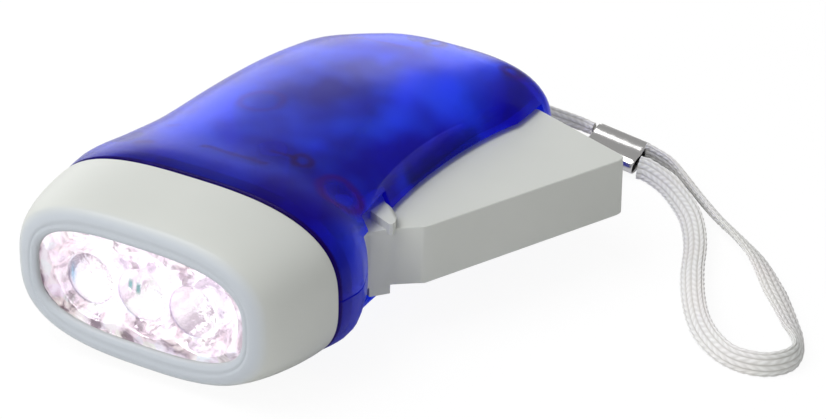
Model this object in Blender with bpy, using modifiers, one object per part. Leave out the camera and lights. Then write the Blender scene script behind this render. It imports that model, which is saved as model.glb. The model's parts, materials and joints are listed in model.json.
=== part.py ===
"""Hand-press dynamo torch: a squeezed lever drives a gear train and a magnet rotor that charges a cell.

Frame: the beam leaves along -Y, the lever opens towards +X, +Z is up, and Z = 0 is the flat belly of
the lower shell. Sizes are in millimetres and become metres where a mesh is made.
"""
import math

import bmesh
import bpy
import numpy as np
from mathutils import Matrix, Vector

MM = 0.001

# Clearances
GAP = 0.3                 # between pieces that rest on each other
RUN = 0.15                # round a shaft in its bore

# Housing
PART_Z = 14.65            # height of the parting plane between the two shell halves
WALL = 1.8                # moulded wall of the shells
LIP_Y = -45.0             # front of the head bezel
SEAM_Y = -29.0            # joint between bezel and shells
TAIL_Y = 38.4             # where the rear end starts to round off
END_Y = 45.5              # rearmost point of the shells
TAIL_X = 5.8              # centre of the rounded rear end
TAIL_POWER = 3.0          # squareness of the rear end in plan
HEAD_POWER = 2.8          # squareness of the cross sections
PLAN = ((SEAM_Y, -27.5, 27.5), (-24.5, -28.0, 28.2), (-17.0, -26.3, 25.6), (-8.0, -24.6, 25.0),
        (6.0, -24.2, 24.7), (18.0, -23.5, 24.8), (30.0, -21.9, 27.0), (TAIL_Y, -15.1, 26.8),
        (END_Y, -9.7, 23.1))          # y, left edge, right edge at the parting plane
CROWN = ((SEAM_Y, 0.1, 29.2), (-24.5, -0.3, 29.6), (-16.0, -0.4, 29.4), (0.0, -0.5, 29.4),
         (12.0, -0.5, 29.2), (25.0, -0.4, 28.3), (36.0, 0.1, 26.9), (END_Y, 1.0, 24.3))  # y, bottom, top
SECTION_POINTS = 32
SPIGOT_LENGTH = 3.6       # tongue of the shells that the bezel slides over
SPIGOT_TAPER = 0.45        # how much narrower the tongue is at its front
BEZEL_WALL = 2.0

# Head
LIP_WIDTH, LIP_HEIGHT = 44.6, 24.8
WINDOW_WIDTH, WINDOW_HEIGHT = 39.2, 17.7
WINDOW_POWER = 3.0
BEZEL_BULGE = 1.6         # how quickly the bezel swells behind its lip
LIP_ROUND = 1.3
LIP_DEPTH = 1.1           # from the lip back to the lens
LENS_THICK = 1.4
LENS_REST = 1.2           # width of the ledge that holds the lens
LED_PITCH = 9.8
LED_RADIUS = 4.6
LED_LENGTH = 5.2
LED_Z = 14.0
CUP_FRONT, CUP_REAR = 7.6, 5.0       # radii of the reflector cups
REFLECTOR_DEPTH = 5.6
BOARD_THICK = 1.2

# Lever, in its own folded position: u outwards from the pivot, v to the rear
PIVOT_X, PIVOT_Y = 19.3, -16.2
LEVER_OPEN = 22.5         # degrees
LEVER_LOW, LEVER_HIGH = 9.5, 19.8
LEVER_GRIP_U = 7.9        # outer face
LEVER_END_V = 52.4
LEVER_INNER_U = -15.8     # inner rear corner
LEVER_HUB = 4.3
LEVER_WALL = 1.7
LEVER_ROUND = 1.6
RIB_RISE = 1.5            # stop ribs above and below the neck
RIB_NEAR, RIB_REACH = 4.0, 8.0       # from the pivot to the ribs' near and far corners
SLOT_GAP = 0.9            # above and below the lever in the shells
SCOOP_X, SCOOP_Y, SCOOP_RISE = 30.6, 6.0, 12.4     # middle of the hollow beside the lever, from the parting plane
SCOOP_RADIUS, SCOOP_REACH = 10.0, 37.0

# Gear train
RACK_MODULE, GEAR_MODULE = 0.8, 0.6
RACK_TEETH = 76           # teeth that a full circle of the rack would have
PINION_TEETH = 12
FIRST_TEETH, SECOND_TEETH = 30, 28
PRESSURE = math.radians(25.0)
ADDENDUM, DEDENDUM, BACKLASH = 0.85, 1.15, 0.12
RACK_ANGLE = 32.0         # from +Y towards -X, seen from the pivot
RACK_LOW, RACK_HIGH = 10.9, 14.3
RACK_WIDTH = 4.2
PINION_LOW, PINION_HIGH = 10.6, 14.9
FIRST_LOW, FIRST_HIGH = 15.4, 17.4
SECOND_LOW, SECOND_HIGH = 17.9, 19.9
TRAIN_TURN_1, TRAIN_TURN_2 = 165.0, -85.0     # directions from gear to gear, degrees from +X
SHAFT = 1.0               # radius of the gear shafts
PIN = 1.5                 # radius of the lever pivot pin
PIN_LOW, PIN_HIGH = 4.6, 23.6
WIRE = 0.6                # thickness of the return spring's wire
SPRING_RADIUS, SPRING_LOW, SPRING_HIGH = 2.35, 15.6, 19.2
SPRING_TURNS, SPRING_ANGLE = 4, 200.0
MAGNET_RADIUS, MAGNET_LOW, MAGNET_HIGH = 7.8, 4.9, 10.2
COVER_LOW, COVER_HIGH = 20.9, 22.5
FLOOR_Z = 1.8             # inner floor of the lower shell
POST = 2.1                # radius of the gear cover's posts
POSTS = ((-12.0, 28.2), (6.0, -2.0), (-1.5, 30.4))

# Generator, cell and switch
POLE_GAP = 0.6
POLE_THICK = 1.6
STATOR_LOW, STATOR_HIGH = 7.2, 10.2
YOKE_Y = -14.4
COIL_LENGTH, COIL_RADIUS = 11.0, 3.6
CELL_RADIUS, CELL_LENGTH = 5.2, 19.0
CELL_X, CELL_Y, CELL_Z = -2.6, SEAM_Y + 6.4, 18.6
CIRCUIT_Z = 11.6
BOARD_POSTS = ((-12.4, SEAM_Y + 8.6), (0.0, SEAM_Y + 8.8))
SWITCH_Y, SWITCH_TRAVEL = -3.0, 4.0
SWITCH_X = -24.2

# Shell screws and strap anchor
SCREWS = ((4.6, -13.5), (0.4, 38.6), (18.6, 40.8), (-19.2, -19.6))
BOSS = 2.5
SCREW_HEAD, SCREW_SHANK = 1.9, 1.0
ANCHOR_X, ANCHOR_Y = 8.6, 41.0
ANCHOR_RADIUS = 1.0
WINDOW_HALF = 3.6         # half width of the strap window
LOCK_X, LOCK_Y, LOCK_TRAVEL = 13.2, 35.0, 3.4

# Wrist strap
STRING = 1.7              # thin braided string
BRAID = 3.8               # width of the flat braid
FERRULE = 1.85            # radius of each barrel
FERRULE_LOW, FERRULE_HIGH = (24.3, 57.1, 3.6), (34.4, 57.0, 2.3)    # ends of the lower barrel's axis
FERRULE_STEP = (-0.5, 3.75, 1.4)      # from the lower barrel to the upper


def clear_scene():
    """Empty the file, so that the model starts from nothing."""
    for thing in list(bpy.data.objects):
        bpy.data.objects.remove(thing, do_unlink=True)


def collection(name):
    """A collection linked to the scene."""
    made = bpy.data.collections.new(name)
    bpy.context.scene.collection.children.link(made)
    return made


def material(name, colour, roughness, metallic=0.0, transmission=0.0):
    """A Principled material with one colour."""
    made = bpy.data.materials.new(name)
    made.use_nodes = True
    shader = made.node_tree.nodes["Principled BSDF"]
    shader.inputs["Base Color"].default_value = (*colour, 1.0)
    shader.inputs["Roughness"].default_value = roughness
    shader.inputs["Metallic"].default_value = metallic
    shader.inputs["Transmission Weight"].default_value = transmission
    made.diffuse_color = (*colour, 1.0)
    return made


clear_scene()
PARTS = collection("dynamo_torch")
CUTTERS = collection("cutters")
SHELL_BLUE = material("shell_blue", (0.03, 0.04, 0.55), 0.2, transmission=0.6)
BEZEL_GREY = material("bezel_grey", (0.70, 0.71, 0.68), 0.4)
LENS_CLEAR = material("lens_clear", (0.95, 0.95, 0.97), 0.05, transmission=1.0)
CHROME = material("chrome", (0.85, 0.84, 0.83), 0.12, 1.0)
STEEL = material("steel", (0.56, 0.56, 0.57), 0.3, 1.0)
BOARD_GREEN = material("board_green", (0.04, 0.22, 0.09), 0.5)
GEAR_WHITE = material("gear_white", (0.80, 0.79, 0.74), 0.45)
MAGNET_GREY = material("magnet_grey", (0.10, 0.10, 0.11), 0.5, 0.4)
COPPER = material("copper", (0.72, 0.33, 0.16), 0.3, 1.0)
BLACK_PLASTIC = material("black_plastic", (0.02, 0.02, 0.02), 0.45)
CELL_SLEEVE = material("cell_sleeve", (0.12, 0.35, 0.18), 0.35)
STRAP_WHITE = material("strap_white", (0.80, 0.79, 0.76), 0.8)


def finish(obj, look, cutter=False):
    """Link an object, give it its material or mark it as a cutter."""
    (CUTTERS if cutter else PARTS).objects.link(obj)
    if cutter:
        obj.hide_render = True
        obj.display_type = "WIRE"
    else:
        obj.data.materials.append(look)
        if hasattr(obj.data, "shade_smooth"):
            obj.data.shade_smooth()
            obj.data.set_sharp_from_angle(angle=math.radians(32))
    return obj


def from_bmesh(name, bm, look=None, cutter=False):
    """An object from a bmesh whose coordinates are in millimetres."""
    bmesh.ops.scale(bm, vec=(MM, MM, MM), verts=bm.verts)
    mesh = bpy.data.meshes.new(name)
    bm.to_mesh(mesh)
    bm.free()
    return finish(bpy.data.objects.new(name, mesh), look, cutter)


def box(name, low, high, look=None, cutter=False):
    """A box between two corners."""
    bm = bmesh.new()
    size = [b - a for a, b in zip(low, high)]
    centre = [(a + b) / 2 for a, b in zip(low, high)]
    bmesh.ops.create_cube(bm, size=1.0, matrix=Matrix.Translation(centre) @ Matrix.Diagonal((*size, 1.0)))
    return from_bmesh(name, bm, look, cutter)


def rod(name, centre, radius, low, high, look=None, cutter=False, axis="Z", sides=16, end_radius=None):
    """A cylinder or cone along an axis, from low to high, about a centre on the other two axes."""
    bm = bmesh.new()
    turn = {"Z": Matrix(), "Y": Matrix.Rotation(-math.pi / 2, 4, "X"), "X": Matrix.Rotation(math.pi / 2, 4, "Y")}
    middle = (low + high) / 2
    place = {"Z": (centre[0], centre[1], middle), "Y": (centre[0], middle, centre[1]),
             "X": (middle, centre[0], centre[1])}
    bmesh.ops.create_cone(bm, cap_ends=True, segments=sides, radius1=radius, depth=high - low,
                          radius2=radius if end_radius is None else end_radius,
                          matrix=Matrix.Translation(place[axis]) @ turn[axis])
    return from_bmesh(name, bm, look, cutter)


def turned(name, profile, place, look=None, cutter=False, axis="Z", steps=24):
    """A turned piece: its profile of radius and height runs down the outer side from the axis."""
    mesh = bpy.data.meshes.new(name)
    points = [(radius * MM, 0.0, height * MM) for radius, height in profile]
    mesh.from_pydata(points, [(k, k + 1) for k in range(len(points) - 1)], [])
    obj = bpy.data.objects.new(name, mesh)
    screw = obj.modifiers.new("turn", "SCREW")
    screw.steps = steps
    screw.render_steps = steps
    screw.use_merge_vertices = True
    screw.merge_threshold = 0.00001
    screw.use_smooth_shade = True
    obj.location = Vector(place) * MM
    if axis == "Y":
        obj.rotation_euler = (-math.pi / 2, 0.0, 0.0)
    if axis == "-Y":
        obj.rotation_euler = (math.pi / 2, 0.0, 0.0)
    if axis == "X":
        obj.rotation_euler = (0.0, math.pi / 2, 0.0)
    (CUTTERS if cutter else PARTS).objects.link(obj)
    if cutter:
        obj.hide_render = True
        obj.display_type = "WIRE"
    else:
        mesh.materials.append(look)
    return obj


def plate(name, outline, low, high, look=None, cutter=False):
    """A flat outline in XY, extruded between two heights."""
    curve = bpy.data.curves.new(name, "CURVE")
    curve.dimensions = "2D"
    curve.fill_mode = "BOTH"
    curve.extrude = (high - low) / 2 * MM
    spline = curve.splines.new("POLY")
    spline.points.add(len(outline) - 1)
    for point, (x, y) in zip(spline.points, outline):
        point.co = (x * MM, y * MM, 0.0, 1.0)
    spline.use_cyclic_u = True
    drawn = bpy.data.objects.new(name + "_curve", curve)
    bpy.context.scene.collection.objects.link(drawn)
    drawn.location.z = (low + high) / 2 * MM
    graph = bpy.context.evaluated_depsgraph_get()
    mesh = bpy.data.meshes.new_from_object(drawn.evaluated_get(graph))
    mesh.transform(Matrix.Translation((0.0, 0.0, (low + high) / 2 * MM)))
    bpy.data.objects.remove(drawn, do_unlink=True)
    bm = bmesh.new()
    bm.from_mesh(mesh)
    bmesh.ops.remove_doubles(bm, verts=bm.verts, dist=0.000001)
    bmesh.ops.recalc_face_normals(bm, faces=bm.faces)
    bm.to_mesh(mesh)
    bm.free()
    return finish(bpy.data.objects.new(name, mesh), look, cutter)


def tube(name, points, diameter, look, resolution=2):
    """A cord or wire along its points."""
    curve = bpy.data.curves.new(name, "CURVE")
    curve.dimensions = "3D"
    curve.bevel_depth = diameter / 2 * MM
    curve.bevel_resolution = resolution
    curve.use_fill_caps = True
    spline = curve.splines.new("POLY")
    spline.points.add(len(points) - 1)
    for point, place in zip(spline.points, points):
        point.co = (*(Vector(place) * MM), 1.0)
    curve.materials.append(look)
    obj = bpy.data.objects.new(name, curve)
    PARTS.objects.link(obj)
    return obj


def combine(obj, tool, operation):
    """Join or cut an object with a tool that stays out of the model."""
    step = obj.modifiers.new(f"{operation.lower()}_{tool.name}", "BOOLEAN")
    step.operation = operation
    step.solver = "EXACT"
    step.object = tool
    if tool.name in PARTS.objects:
        PARTS.objects.unlink(tool)
        CUTTERS.objects.link(tool)
    tool.hide_render = True
    tool.display_type = "WIRE"


def cut(obj, *tools):
    for tool in tools:
        combine(obj, tool, "DIFFERENCE")


def join(obj, *tools):
    for tool in tools:
        combine(obj, tool, "UNION")


def soften(obj, width, segments=2, angle=40.0):
    """Round the edges of a piece."""
    bevel = obj.modifiers.new("soften", "BEVEL")
    bevel.width = width * MM
    bevel.segments = segments
    bevel.limit_method = "ANGLE"
    bevel.angle_limit = math.radians(angle)
    return bevel


def smooth_value(y, rows, column):
    """Read one column of a table at y with a smooth curve that doesn't overshoot."""
    at = np.array([row[0] for row in rows])
    value = np.array([row[column] for row in rows])
    step = np.diff(at)
    slope = np.diff(value) / step
    tangent = np.zeros(len(at))
    for k in range(1, len(at) - 1):
        if slope[k - 1] * slope[k] > 0:
            weight = (2 * step[k] + step[k - 1], step[k] + 2 * step[k - 1])
            tangent[k] = sum(weight) / (weight[0] / slope[k - 1] + weight[1] / slope[k])
    tangent[0], tangent[-1] = slope[0], slope[-1]
    k = int(np.clip(np.searchsorted(at, y) - 1, 0, len(step) - 1))
    t = (y - at[k]) / step[k]
    return ((2 * t**3 - 3 * t**2 + 1) * value[k] + (t**3 - 2 * t**2 + t) * step[k] * tangent[k]
            + (3 * t**2 - 2 * t**3) * value[k + 1] + (t**3 - t**2) * step[k] * tangent[k + 1])


def section(y, left, right, low, high, power=HEAD_POWER, centre_x=None):
    """One closed cross section: a superellipse whose widest level is the parting plane."""
    ring = []
    middle = (left + right) / 2 if centre_x is None else centre_x
    for k in range(SECTION_POINTS):
        angle = 2 * math.pi * k / SECTION_POINTS
        across, up = math.cos(angle), math.sin(angle)
        reach = (right - middle) if across > 0 else (middle - left)
        rise = (high - PART_Z) if up > 0 else (PART_Z - low)
        ring.append((middle + reach * math.copysign(abs(across) ** (2 / power), across), y,
                     PART_Z + rise * math.copysign(abs(up) ** (2 / power), up)))
    return ring


def loft(name, rings, look=None, cutter=False):
    """A closed solid through rings of equal count, capped at both ends."""
    bm = bmesh.new()
    rows = [[bm.verts.new(point) for point in ring] for ring in rings]
    count = len(rows[0])
    for near, far in zip(rows, rows[1:]):
        for k in range(count):
            bm.faces.new((near[k], near[(k + 1) % count], far[(k + 1) % count], far[k]))
    bm.faces.new(rows[0])
    bm.faces.new(rows[-1])
    bmesh.ops.recalc_face_normals(bm, faces=bm.faces)
    return from_bmesh(name, bm, look, cutter)


def body_section(y, inset):
    """The housing's cross section at y, drawn in by an inset, with the rear end rounded off."""
    left = smooth_value(y, PLAN, 1) + inset
    right = smooth_value(y, PLAN, 2) - inset
    low = smooth_value(y, CROWN, 1) + inset
    high = smooth_value(y, CROWN, 2) - inset
    end = END_Y - inset
    start = TAIL_Y - inset
    if y > start:
        share = min((y - start) / (end - start), 1.0)
        plan = max(1 - share**TAIL_POWER, 0.0) ** (1 / TAIL_POWER)
        rise = max(1 - share**2.4, 0.0) ** (1 / 2.4)
        left = TAIL_X + (left - TAIL_X) * plan
        right = TAIL_X + (right - TAIL_X) * plan
        low = PART_Z + (low - PART_Z) * (0.25 + 0.75 * rise)
        high = PART_Z + (high - PART_Z) * (0.25 + 0.75 * rise)
    return section(y, left, right, low, high, centre_x=(left + right) / 2)


def stations(start, inset):
    """Places along Y for the housing's sections, closer together where it rounds off."""
    even = list(np.linspace(start, TAIL_Y - inset, 11))
    tail = [math.sin(math.radians(angle)) for angle in (22, 42, 59, 73, 84)]
    return even + [TAIL_Y - inset + (END_Y - TAIL_Y) * share for share in tail]


def housing(name, inset, look=None, cutter=False):
    """The whole housing as one solid, or its hollow when the inset is the wall."""
    rings = []
    if inset:
        spigot_bore = BEZEL_WALL + GAP + WALL
        rings += [body_section(y, spigot_bore) for y in (SEAM_Y - SPIGOT_LENGTH - 1.0, SEAM_Y + 1.4)]
        rings += [body_section(y, inset) for y in stations(SEAM_Y + 4.0, inset)]
    else:
        spigot = BEZEL_WALL + GAP
        front = SEAM_Y + GAP / 2
        rings += [body_section(SEAM_Y - SPIGOT_LENGTH, spigot + SPIGOT_TAPER), body_section(front - 0.01, spigot)]
        rings += [body_section(y, 0.45) for y in (front,)]
        rings += [body_section(y, 0.0) for y in stations(front + 0.45, 0.0)]
    return loft(name, rings, look, cutter)


def polar(angle, radius, centre=(0.0, 0.0)):
    """A point at an angle in degrees from +X."""
    turn = math.radians(angle)
    return centre[0] + radius * math.cos(turn), centre[1] + radius * math.sin(turn)


def arc(centre, radius, start, end, count):
    """Points along an arc, angles in degrees."""
    return [polar(start + (end - start) * k / (count - 1), radius, centre) for k in range(count)]


def involute(radius, base):
    """Angle that an involute has turned through at a radius."""
    pressure = math.acos(min(base / radius, 1.0))
    return math.tan(pressure) - pressure


def tooth(module, teeth, centre_angle, flank_points=3):
    """One external tooth as polar points in radians, from its right root to its left root."""
    pitch = module * teeth / 2
    base = pitch * math.cos(PRESSURE)
    tip = pitch + ADDENDUM * module
    root = pitch - DEDENDUM * module
    half = (math.pi * module / 2 - BACKLASH) / (2 * pitch) + involute(pitch, base)
    start = max(base, root + 0.02)
    flank = [start + (tip - start) * k / (flank_points - 1) for k in range(flank_points)]
    right = [(centre_angle - half + involute(radius, base), radius) for radius in flank]
    left = [(centre_angle + half - involute(radius, base), radius) for radius in reversed(flank)]
    if start > root + 0.05:
        right.insert(0, (centre_angle - half, root))
        left.append((centre_angle + half, root))
    return right + left


def gear_outline(module, teeth, phase, centre):
    """A whole external gear, its first tooth at the phase angle in radians."""
    points = []
    flank_points = 3 if teeth == PINION_TEETH else 2
    for k in range(teeth):
        for angle, radius in tooth(module, teeth, phase + 2 * math.pi * k / teeth, flank_points):
            points.append((centre[0] + radius * math.cos(angle), centre[1] + radius * math.sin(angle)))
    return points


def mesh_phase(teeth_1, phase_1, teeth_2, direction):
    """Phase of a gear that meshes with another, direction pointing from the first to the second."""
    pitches = teeth_1 * (direction - phase_1) / (2 * math.pi)
    return direction + math.pi - 2 * math.pi / teeth_2 * (0.5 - pitches)


# Gear centres and phases, worked out from the tooth counts
PIVOT = (PIVOT_X, PIVOT_Y)
RACK_RADIUS = RACK_MODULE * RACK_TEETH / 2
PINION_RADIUS = RACK_MODULE * PINION_TEETH / 2
RACK_HEADING = 90.0 + RACK_ANGLE
GEAR_1 = polar(RACK_HEADING, RACK_RADIUS + PINION_RADIUS, PIVOT)
GEAR_2 = polar(TRAIN_TURN_1, GEAR_MODULE * (FIRST_TEETH + PINION_TEETH) / 2, GEAR_1)
GEAR_3 = polar(TRAIN_TURN_2, GEAR_MODULE * (SECOND_TEETH + PINION_TEETH) / 2, GEAR_2)
RACK_PHASE = math.radians(RACK_HEADING)
PHASE_1 = mesh_phase(RACK_TEETH, RACK_PHASE, PINION_TEETH, math.radians(RACK_HEADING))
PHASE_2 = mesh_phase(FIRST_TEETH, PHASE_1, PINION_TEETH, math.radians(TRAIN_TURN_1))
PHASE_3 = mesh_phase(SECOND_TEETH, PHASE_2, PINION_TEETH, math.radians(TRAIN_TURN_2))


def hinge(name, centre):
    """An empty on a vertical joint axis."""
    empty = bpy.data.objects.new(name, None)
    empty.location = (centre[0] * MM, centre[1] * MM, PART_Z * MM)
    empty.empty_display_size = 0.005
    PARTS.objects.link(empty)
    return empty


def carry(parent, *pieces):
    """Parent pieces to their joint's empty, leaving them where they are."""
    bpy.context.view_layer.update()
    for piece in pieces:
        piece.parent = parent
        piece.matrix_parent_inverse = parent.matrix_world.inverted()


def screw_columns(half):
    """Bosses that join the two shell halves, for the upper or the lower one."""
    for k, (x, y) in enumerate(SCREWS):
        if half == "upper":
            yield rod(f"upper_boss_{k}", (x, y), BOSS, PART_Z + GAP / 2, PART_Z + 16.0)
        else:
            yield rod(f"lower_boss_{k}", (x, y), BOSS, -1.0, PART_Z - GAP / 2)


def trimmed(tool, inset=WALL / 2):
    """Keep only the part of a tool inside the housing's wall."""
    step = tool.modifiers.new("trim", "BOOLEAN")
    step.operation = "INTERSECT"
    step.solver = "EXACT"
    step.object = CORE[inset]
    return tool


def lever_slot(name):
    """Space that the lever needs in the side of the shells, swept from open to folded."""
    low, high = LEVER_LOW - SLOT_GAP, LEVER_HIGH + SLOT_GAP
    reach = math.hypot(LEVER_GRIP_U, LEVER_END_V) + SLOT_GAP
    outline = arc(PIVOT, LEVER_HUB + SLOT_GAP, 170.0, 290.0, 9)
    outline += [(PIVOT_X + 5.4, PIVOT_Y - 2.2), (PIVOT_X + 34.0, PIVOT_Y - 2.2)]
    outline += arc(PIVOT, reach, 20.0, 109.5, 14)
    return plate(name, outline, low, high, cutter=True)


def rib_room(name):
    """Space that the lever's stop ribs sweep through."""
    outline = arc(PIVOT, RIB_REACH + 0.6, -2.0, 66.0, 10) + arc(PIVOT, RIB_NEAR - 0.5, 66.0, -2.0, 6)
    return plate(name, outline, LEVER_LOW - RIB_RISE - 0.6, LEVER_HIGH + RIB_RISE + 0.6, cutter=True)


def side_scoop(name, level):
    """Long hollow pressed into the side of a shell above or below the lever."""
    bm = bmesh.new()
    bmesh.ops.create_uvsphere(bm, u_segments=28, v_segments=24, radius=1.0)
    bmesh.ops.transform(bm, verts=bm.verts, matrix=Matrix.Translation((SCOOP_X, SCOOP_Y, PART_Z + level * SCOOP_RISE))
                        @ Matrix.Diagonal((SCOOP_RADIUS, SCOOP_REACH, SCOOP_RADIUS, 1.0))
                        @ Matrix.Rotation(math.pi / 2, 4, "X"))
    return from_bmesh(name, bm, cutter=True)


CORE = {WALL / 2: housing("core", WALL / 2, cutter=True)}


def shell_half(name, half):
    """Upper or lower half of the blue housing."""
    upper = half == "upper"
    sign = 1 if upper else -1
    shell = housing(name, 0.0, SHELL_BLUE)
    cut(shell, housing(f"{name}_hollow", WALL, cutter=True))
    for column in screw_columns(half):
        join(shell, trimmed(column))
    far = 60.0
    if upper:
        join(shell, trimmed(rod("upper_pivot_boss", PIVOT, PIN + 1.6, LEVER_HIGH + GAP, 40.0)),
             trimmed(rod("upper_anchor_boss", (ANCHOR_X, ANCHOR_Y), ANCHOR_RADIUS + 1.1, PART_Z + 3.0, 40.0)))
        cut(shell, box("below_upper", (-far, -far, -far), (far, far, PART_Z + GAP / 2), cutter=True))
    else:
        join(shell, trimmed(rod("lower_pivot_boss", PIVOT, PIN + 1.6, -1.0, LEVER_LOW - GAP)),
             trimmed(rod("lower_anchor_boss", (ANCHOR_X, ANCHOR_Y), ANCHOR_RADIUS + 1.1, -1.0, PART_Z - 3.0)))
        for k, place in enumerate(POSTS):
            join(shell, rod(f"cover_post_{k}", place, POST, FLOOR_Z - 0.6, COVER_LOW - GAP))
        for k, place in enumerate(BOARD_POSTS):
            join(shell, trimmed(rod(f"board_post_{k}", place, 1.2, -1.0, CIRCUIT_Z - GAP)))
        for k, centre in enumerate((GEAR_1, GEAR_2, GEAR_3)):
            join(shell, rod(f"shaft_seat_{k}", centre, SHAFT + 0.9, FLOOR_Z - 0.6, FLOOR_Z + 1.5))
        cut(shell, box("above_lower", (-far, -far, PART_Z - GAP / 2), (far, far, far), cutter=True),
            box("below_belly", (-far, -far, -far), (far, far, 0.0), cutter=True))
    slot = lever_slot(f"{half}_slot")
    join(slot, rib_room(f"{half}_rib_room"))
    cut(shell, side_scoop(f"{half}_scoop", sign), slot)
    return shell


def build_shells():
    """Both halves, with the holes for the pin, screws, switch, strap and lock."""
    upper = shell_half("upper_shell", "upper")
    lower = shell_half("lower_shell", "lower")
    for k, shell in enumerate((upper, lower)):
        cut(shell, rod(f"pin_bore_{k}", PIVOT, PIN + RUN, PIN_LOW - GAP, PIN_HIGH + GAP, cutter=True))
        cut(shell, rod(f"anchor_bore_{k}", (ANCHOR_X, ANCHOR_Y), ANCHOR_RADIUS + RUN, 8.6, 20.6, cutter=True))
        cut(shell, box(f"strap_window_{k}", (ANCHOR_X - WINDOW_HALF, ANCHOR_Y + 1.5, PART_Z - 2.2),
                       (ANCHOR_X + WINDOW_HALF, END_Y + 2.0, PART_Z + 2.2), cutter=True))
        cut(shell, box(f"switch_window_{k}", (-32.0, SWITCH_Y - 2.4, PART_Z - 2.4),
                       (-20.0, SWITCH_Y + 2.4 + SWITCH_TRAVEL, PART_Z + 2.4), cutter=True))
    cut(upper, rod("spring_hole", polar(SPRING_ANGLE, SPRING_RADIUS, PIVOT), WIRE, LEVER_HIGH - 1.0,
                   LEVER_HIGH + 2.2, cutter=True, sides=12))
    for k, (x, y) in enumerate(SCREWS):
        cut(upper, rod(f"pilot_{k}", (x, y), SCREW_SHANK + RUN, PART_Z - 1.0, PART_Z + 6.2, cutter=True, sides=12))
        cut(lower, rod(f"screw_way_{k}", (x, y), SCREW_SHANK + RUN, -1.0, PART_Z + 1.0, cutter=True, sides=12),
            rod(f"head_way_{k}", (x, y), SCREW_HEAD + RUN, -1.0, 8.0, cutter=True, sides=12))
    for k, centre in enumerate((GEAR_1, GEAR_2, GEAR_3)):
        cut(lower, rod(f"shaft_hole_{k}", centre, SHAFT + RUN, FLOOR_Z - 0.1, FLOOR_Z + 4.0, cutter=True, sides=12))
    for k, place in enumerate(POSTS):
        cut(lower, rod(f"post_pilot_{k}", place, 0.8 + RUN, COVER_LOW - 7.0, COVER_LOW + 1.0, cutter=True, sides=12))
    cut(lower, box("lock_window", (LOCK_X - 2.2, LOCK_Y - 2.4 - LOCK_TRAVEL, -1.0), (LOCK_X + 2.2, LOCK_Y + 2.4, 6.0),
                   cutter=True))


def bezel_ring(y, inset=0.0):
    """Cross section of the head bezel, from its lip to the seam."""
    share = (y - LIP_Y) / (SEAM_Y - LIP_Y)
    swell = (1 - max(1 - share, 0.0) ** BEZEL_BULGE) ** (1 / BEZEL_BULGE)
    left, right = smooth_value(SEAM_Y, PLAN, 1), smooth_value(SEAM_Y, PLAN, 2)
    low, high = smooth_value(SEAM_Y, CROWN, 1), smooth_value(SEAM_Y, CROWN, 2)
    half_width = LIP_WIDTH / 2 + (right - LIP_WIDTH / 2) * swell - inset
    rise = LIP_HEIGHT / 2 + (high - PART_Z - LIP_HEIGHT / 2) * swell - inset
    drop = LIP_HEIGHT / 2 + (PART_Z - low - LIP_HEIGHT / 2) * swell - inset
    return section(y, -half_width, half_width, PART_Z - drop, PART_Z + rise)


def window_ring(y, grow=0.0):
    """Cross section of the window opening, grown by a margin."""
    return section(y, -WINDOW_WIDTH / 2 - grow, WINDOW_WIDTH / 2 + grow, PART_Z - WINDOW_HEIGHT / 2 - grow,
                   PART_Z + WINDOW_HEIGHT / 2 + grow, WINDOW_POWER)


LENS_FRONT = LIP_Y + LIP_DEPTH + GAP
LENS_BACK = LENS_FRONT + LENS_THICK
TRAY_FRONT = LENS_BACK + GAP
TRAY_BACK = TRAY_FRONT + REFLECTOR_DEPTH
LED_BACK = TRAY_BACK + 0.9
BOARD_FRONT = LED_BACK + GAP


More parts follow.
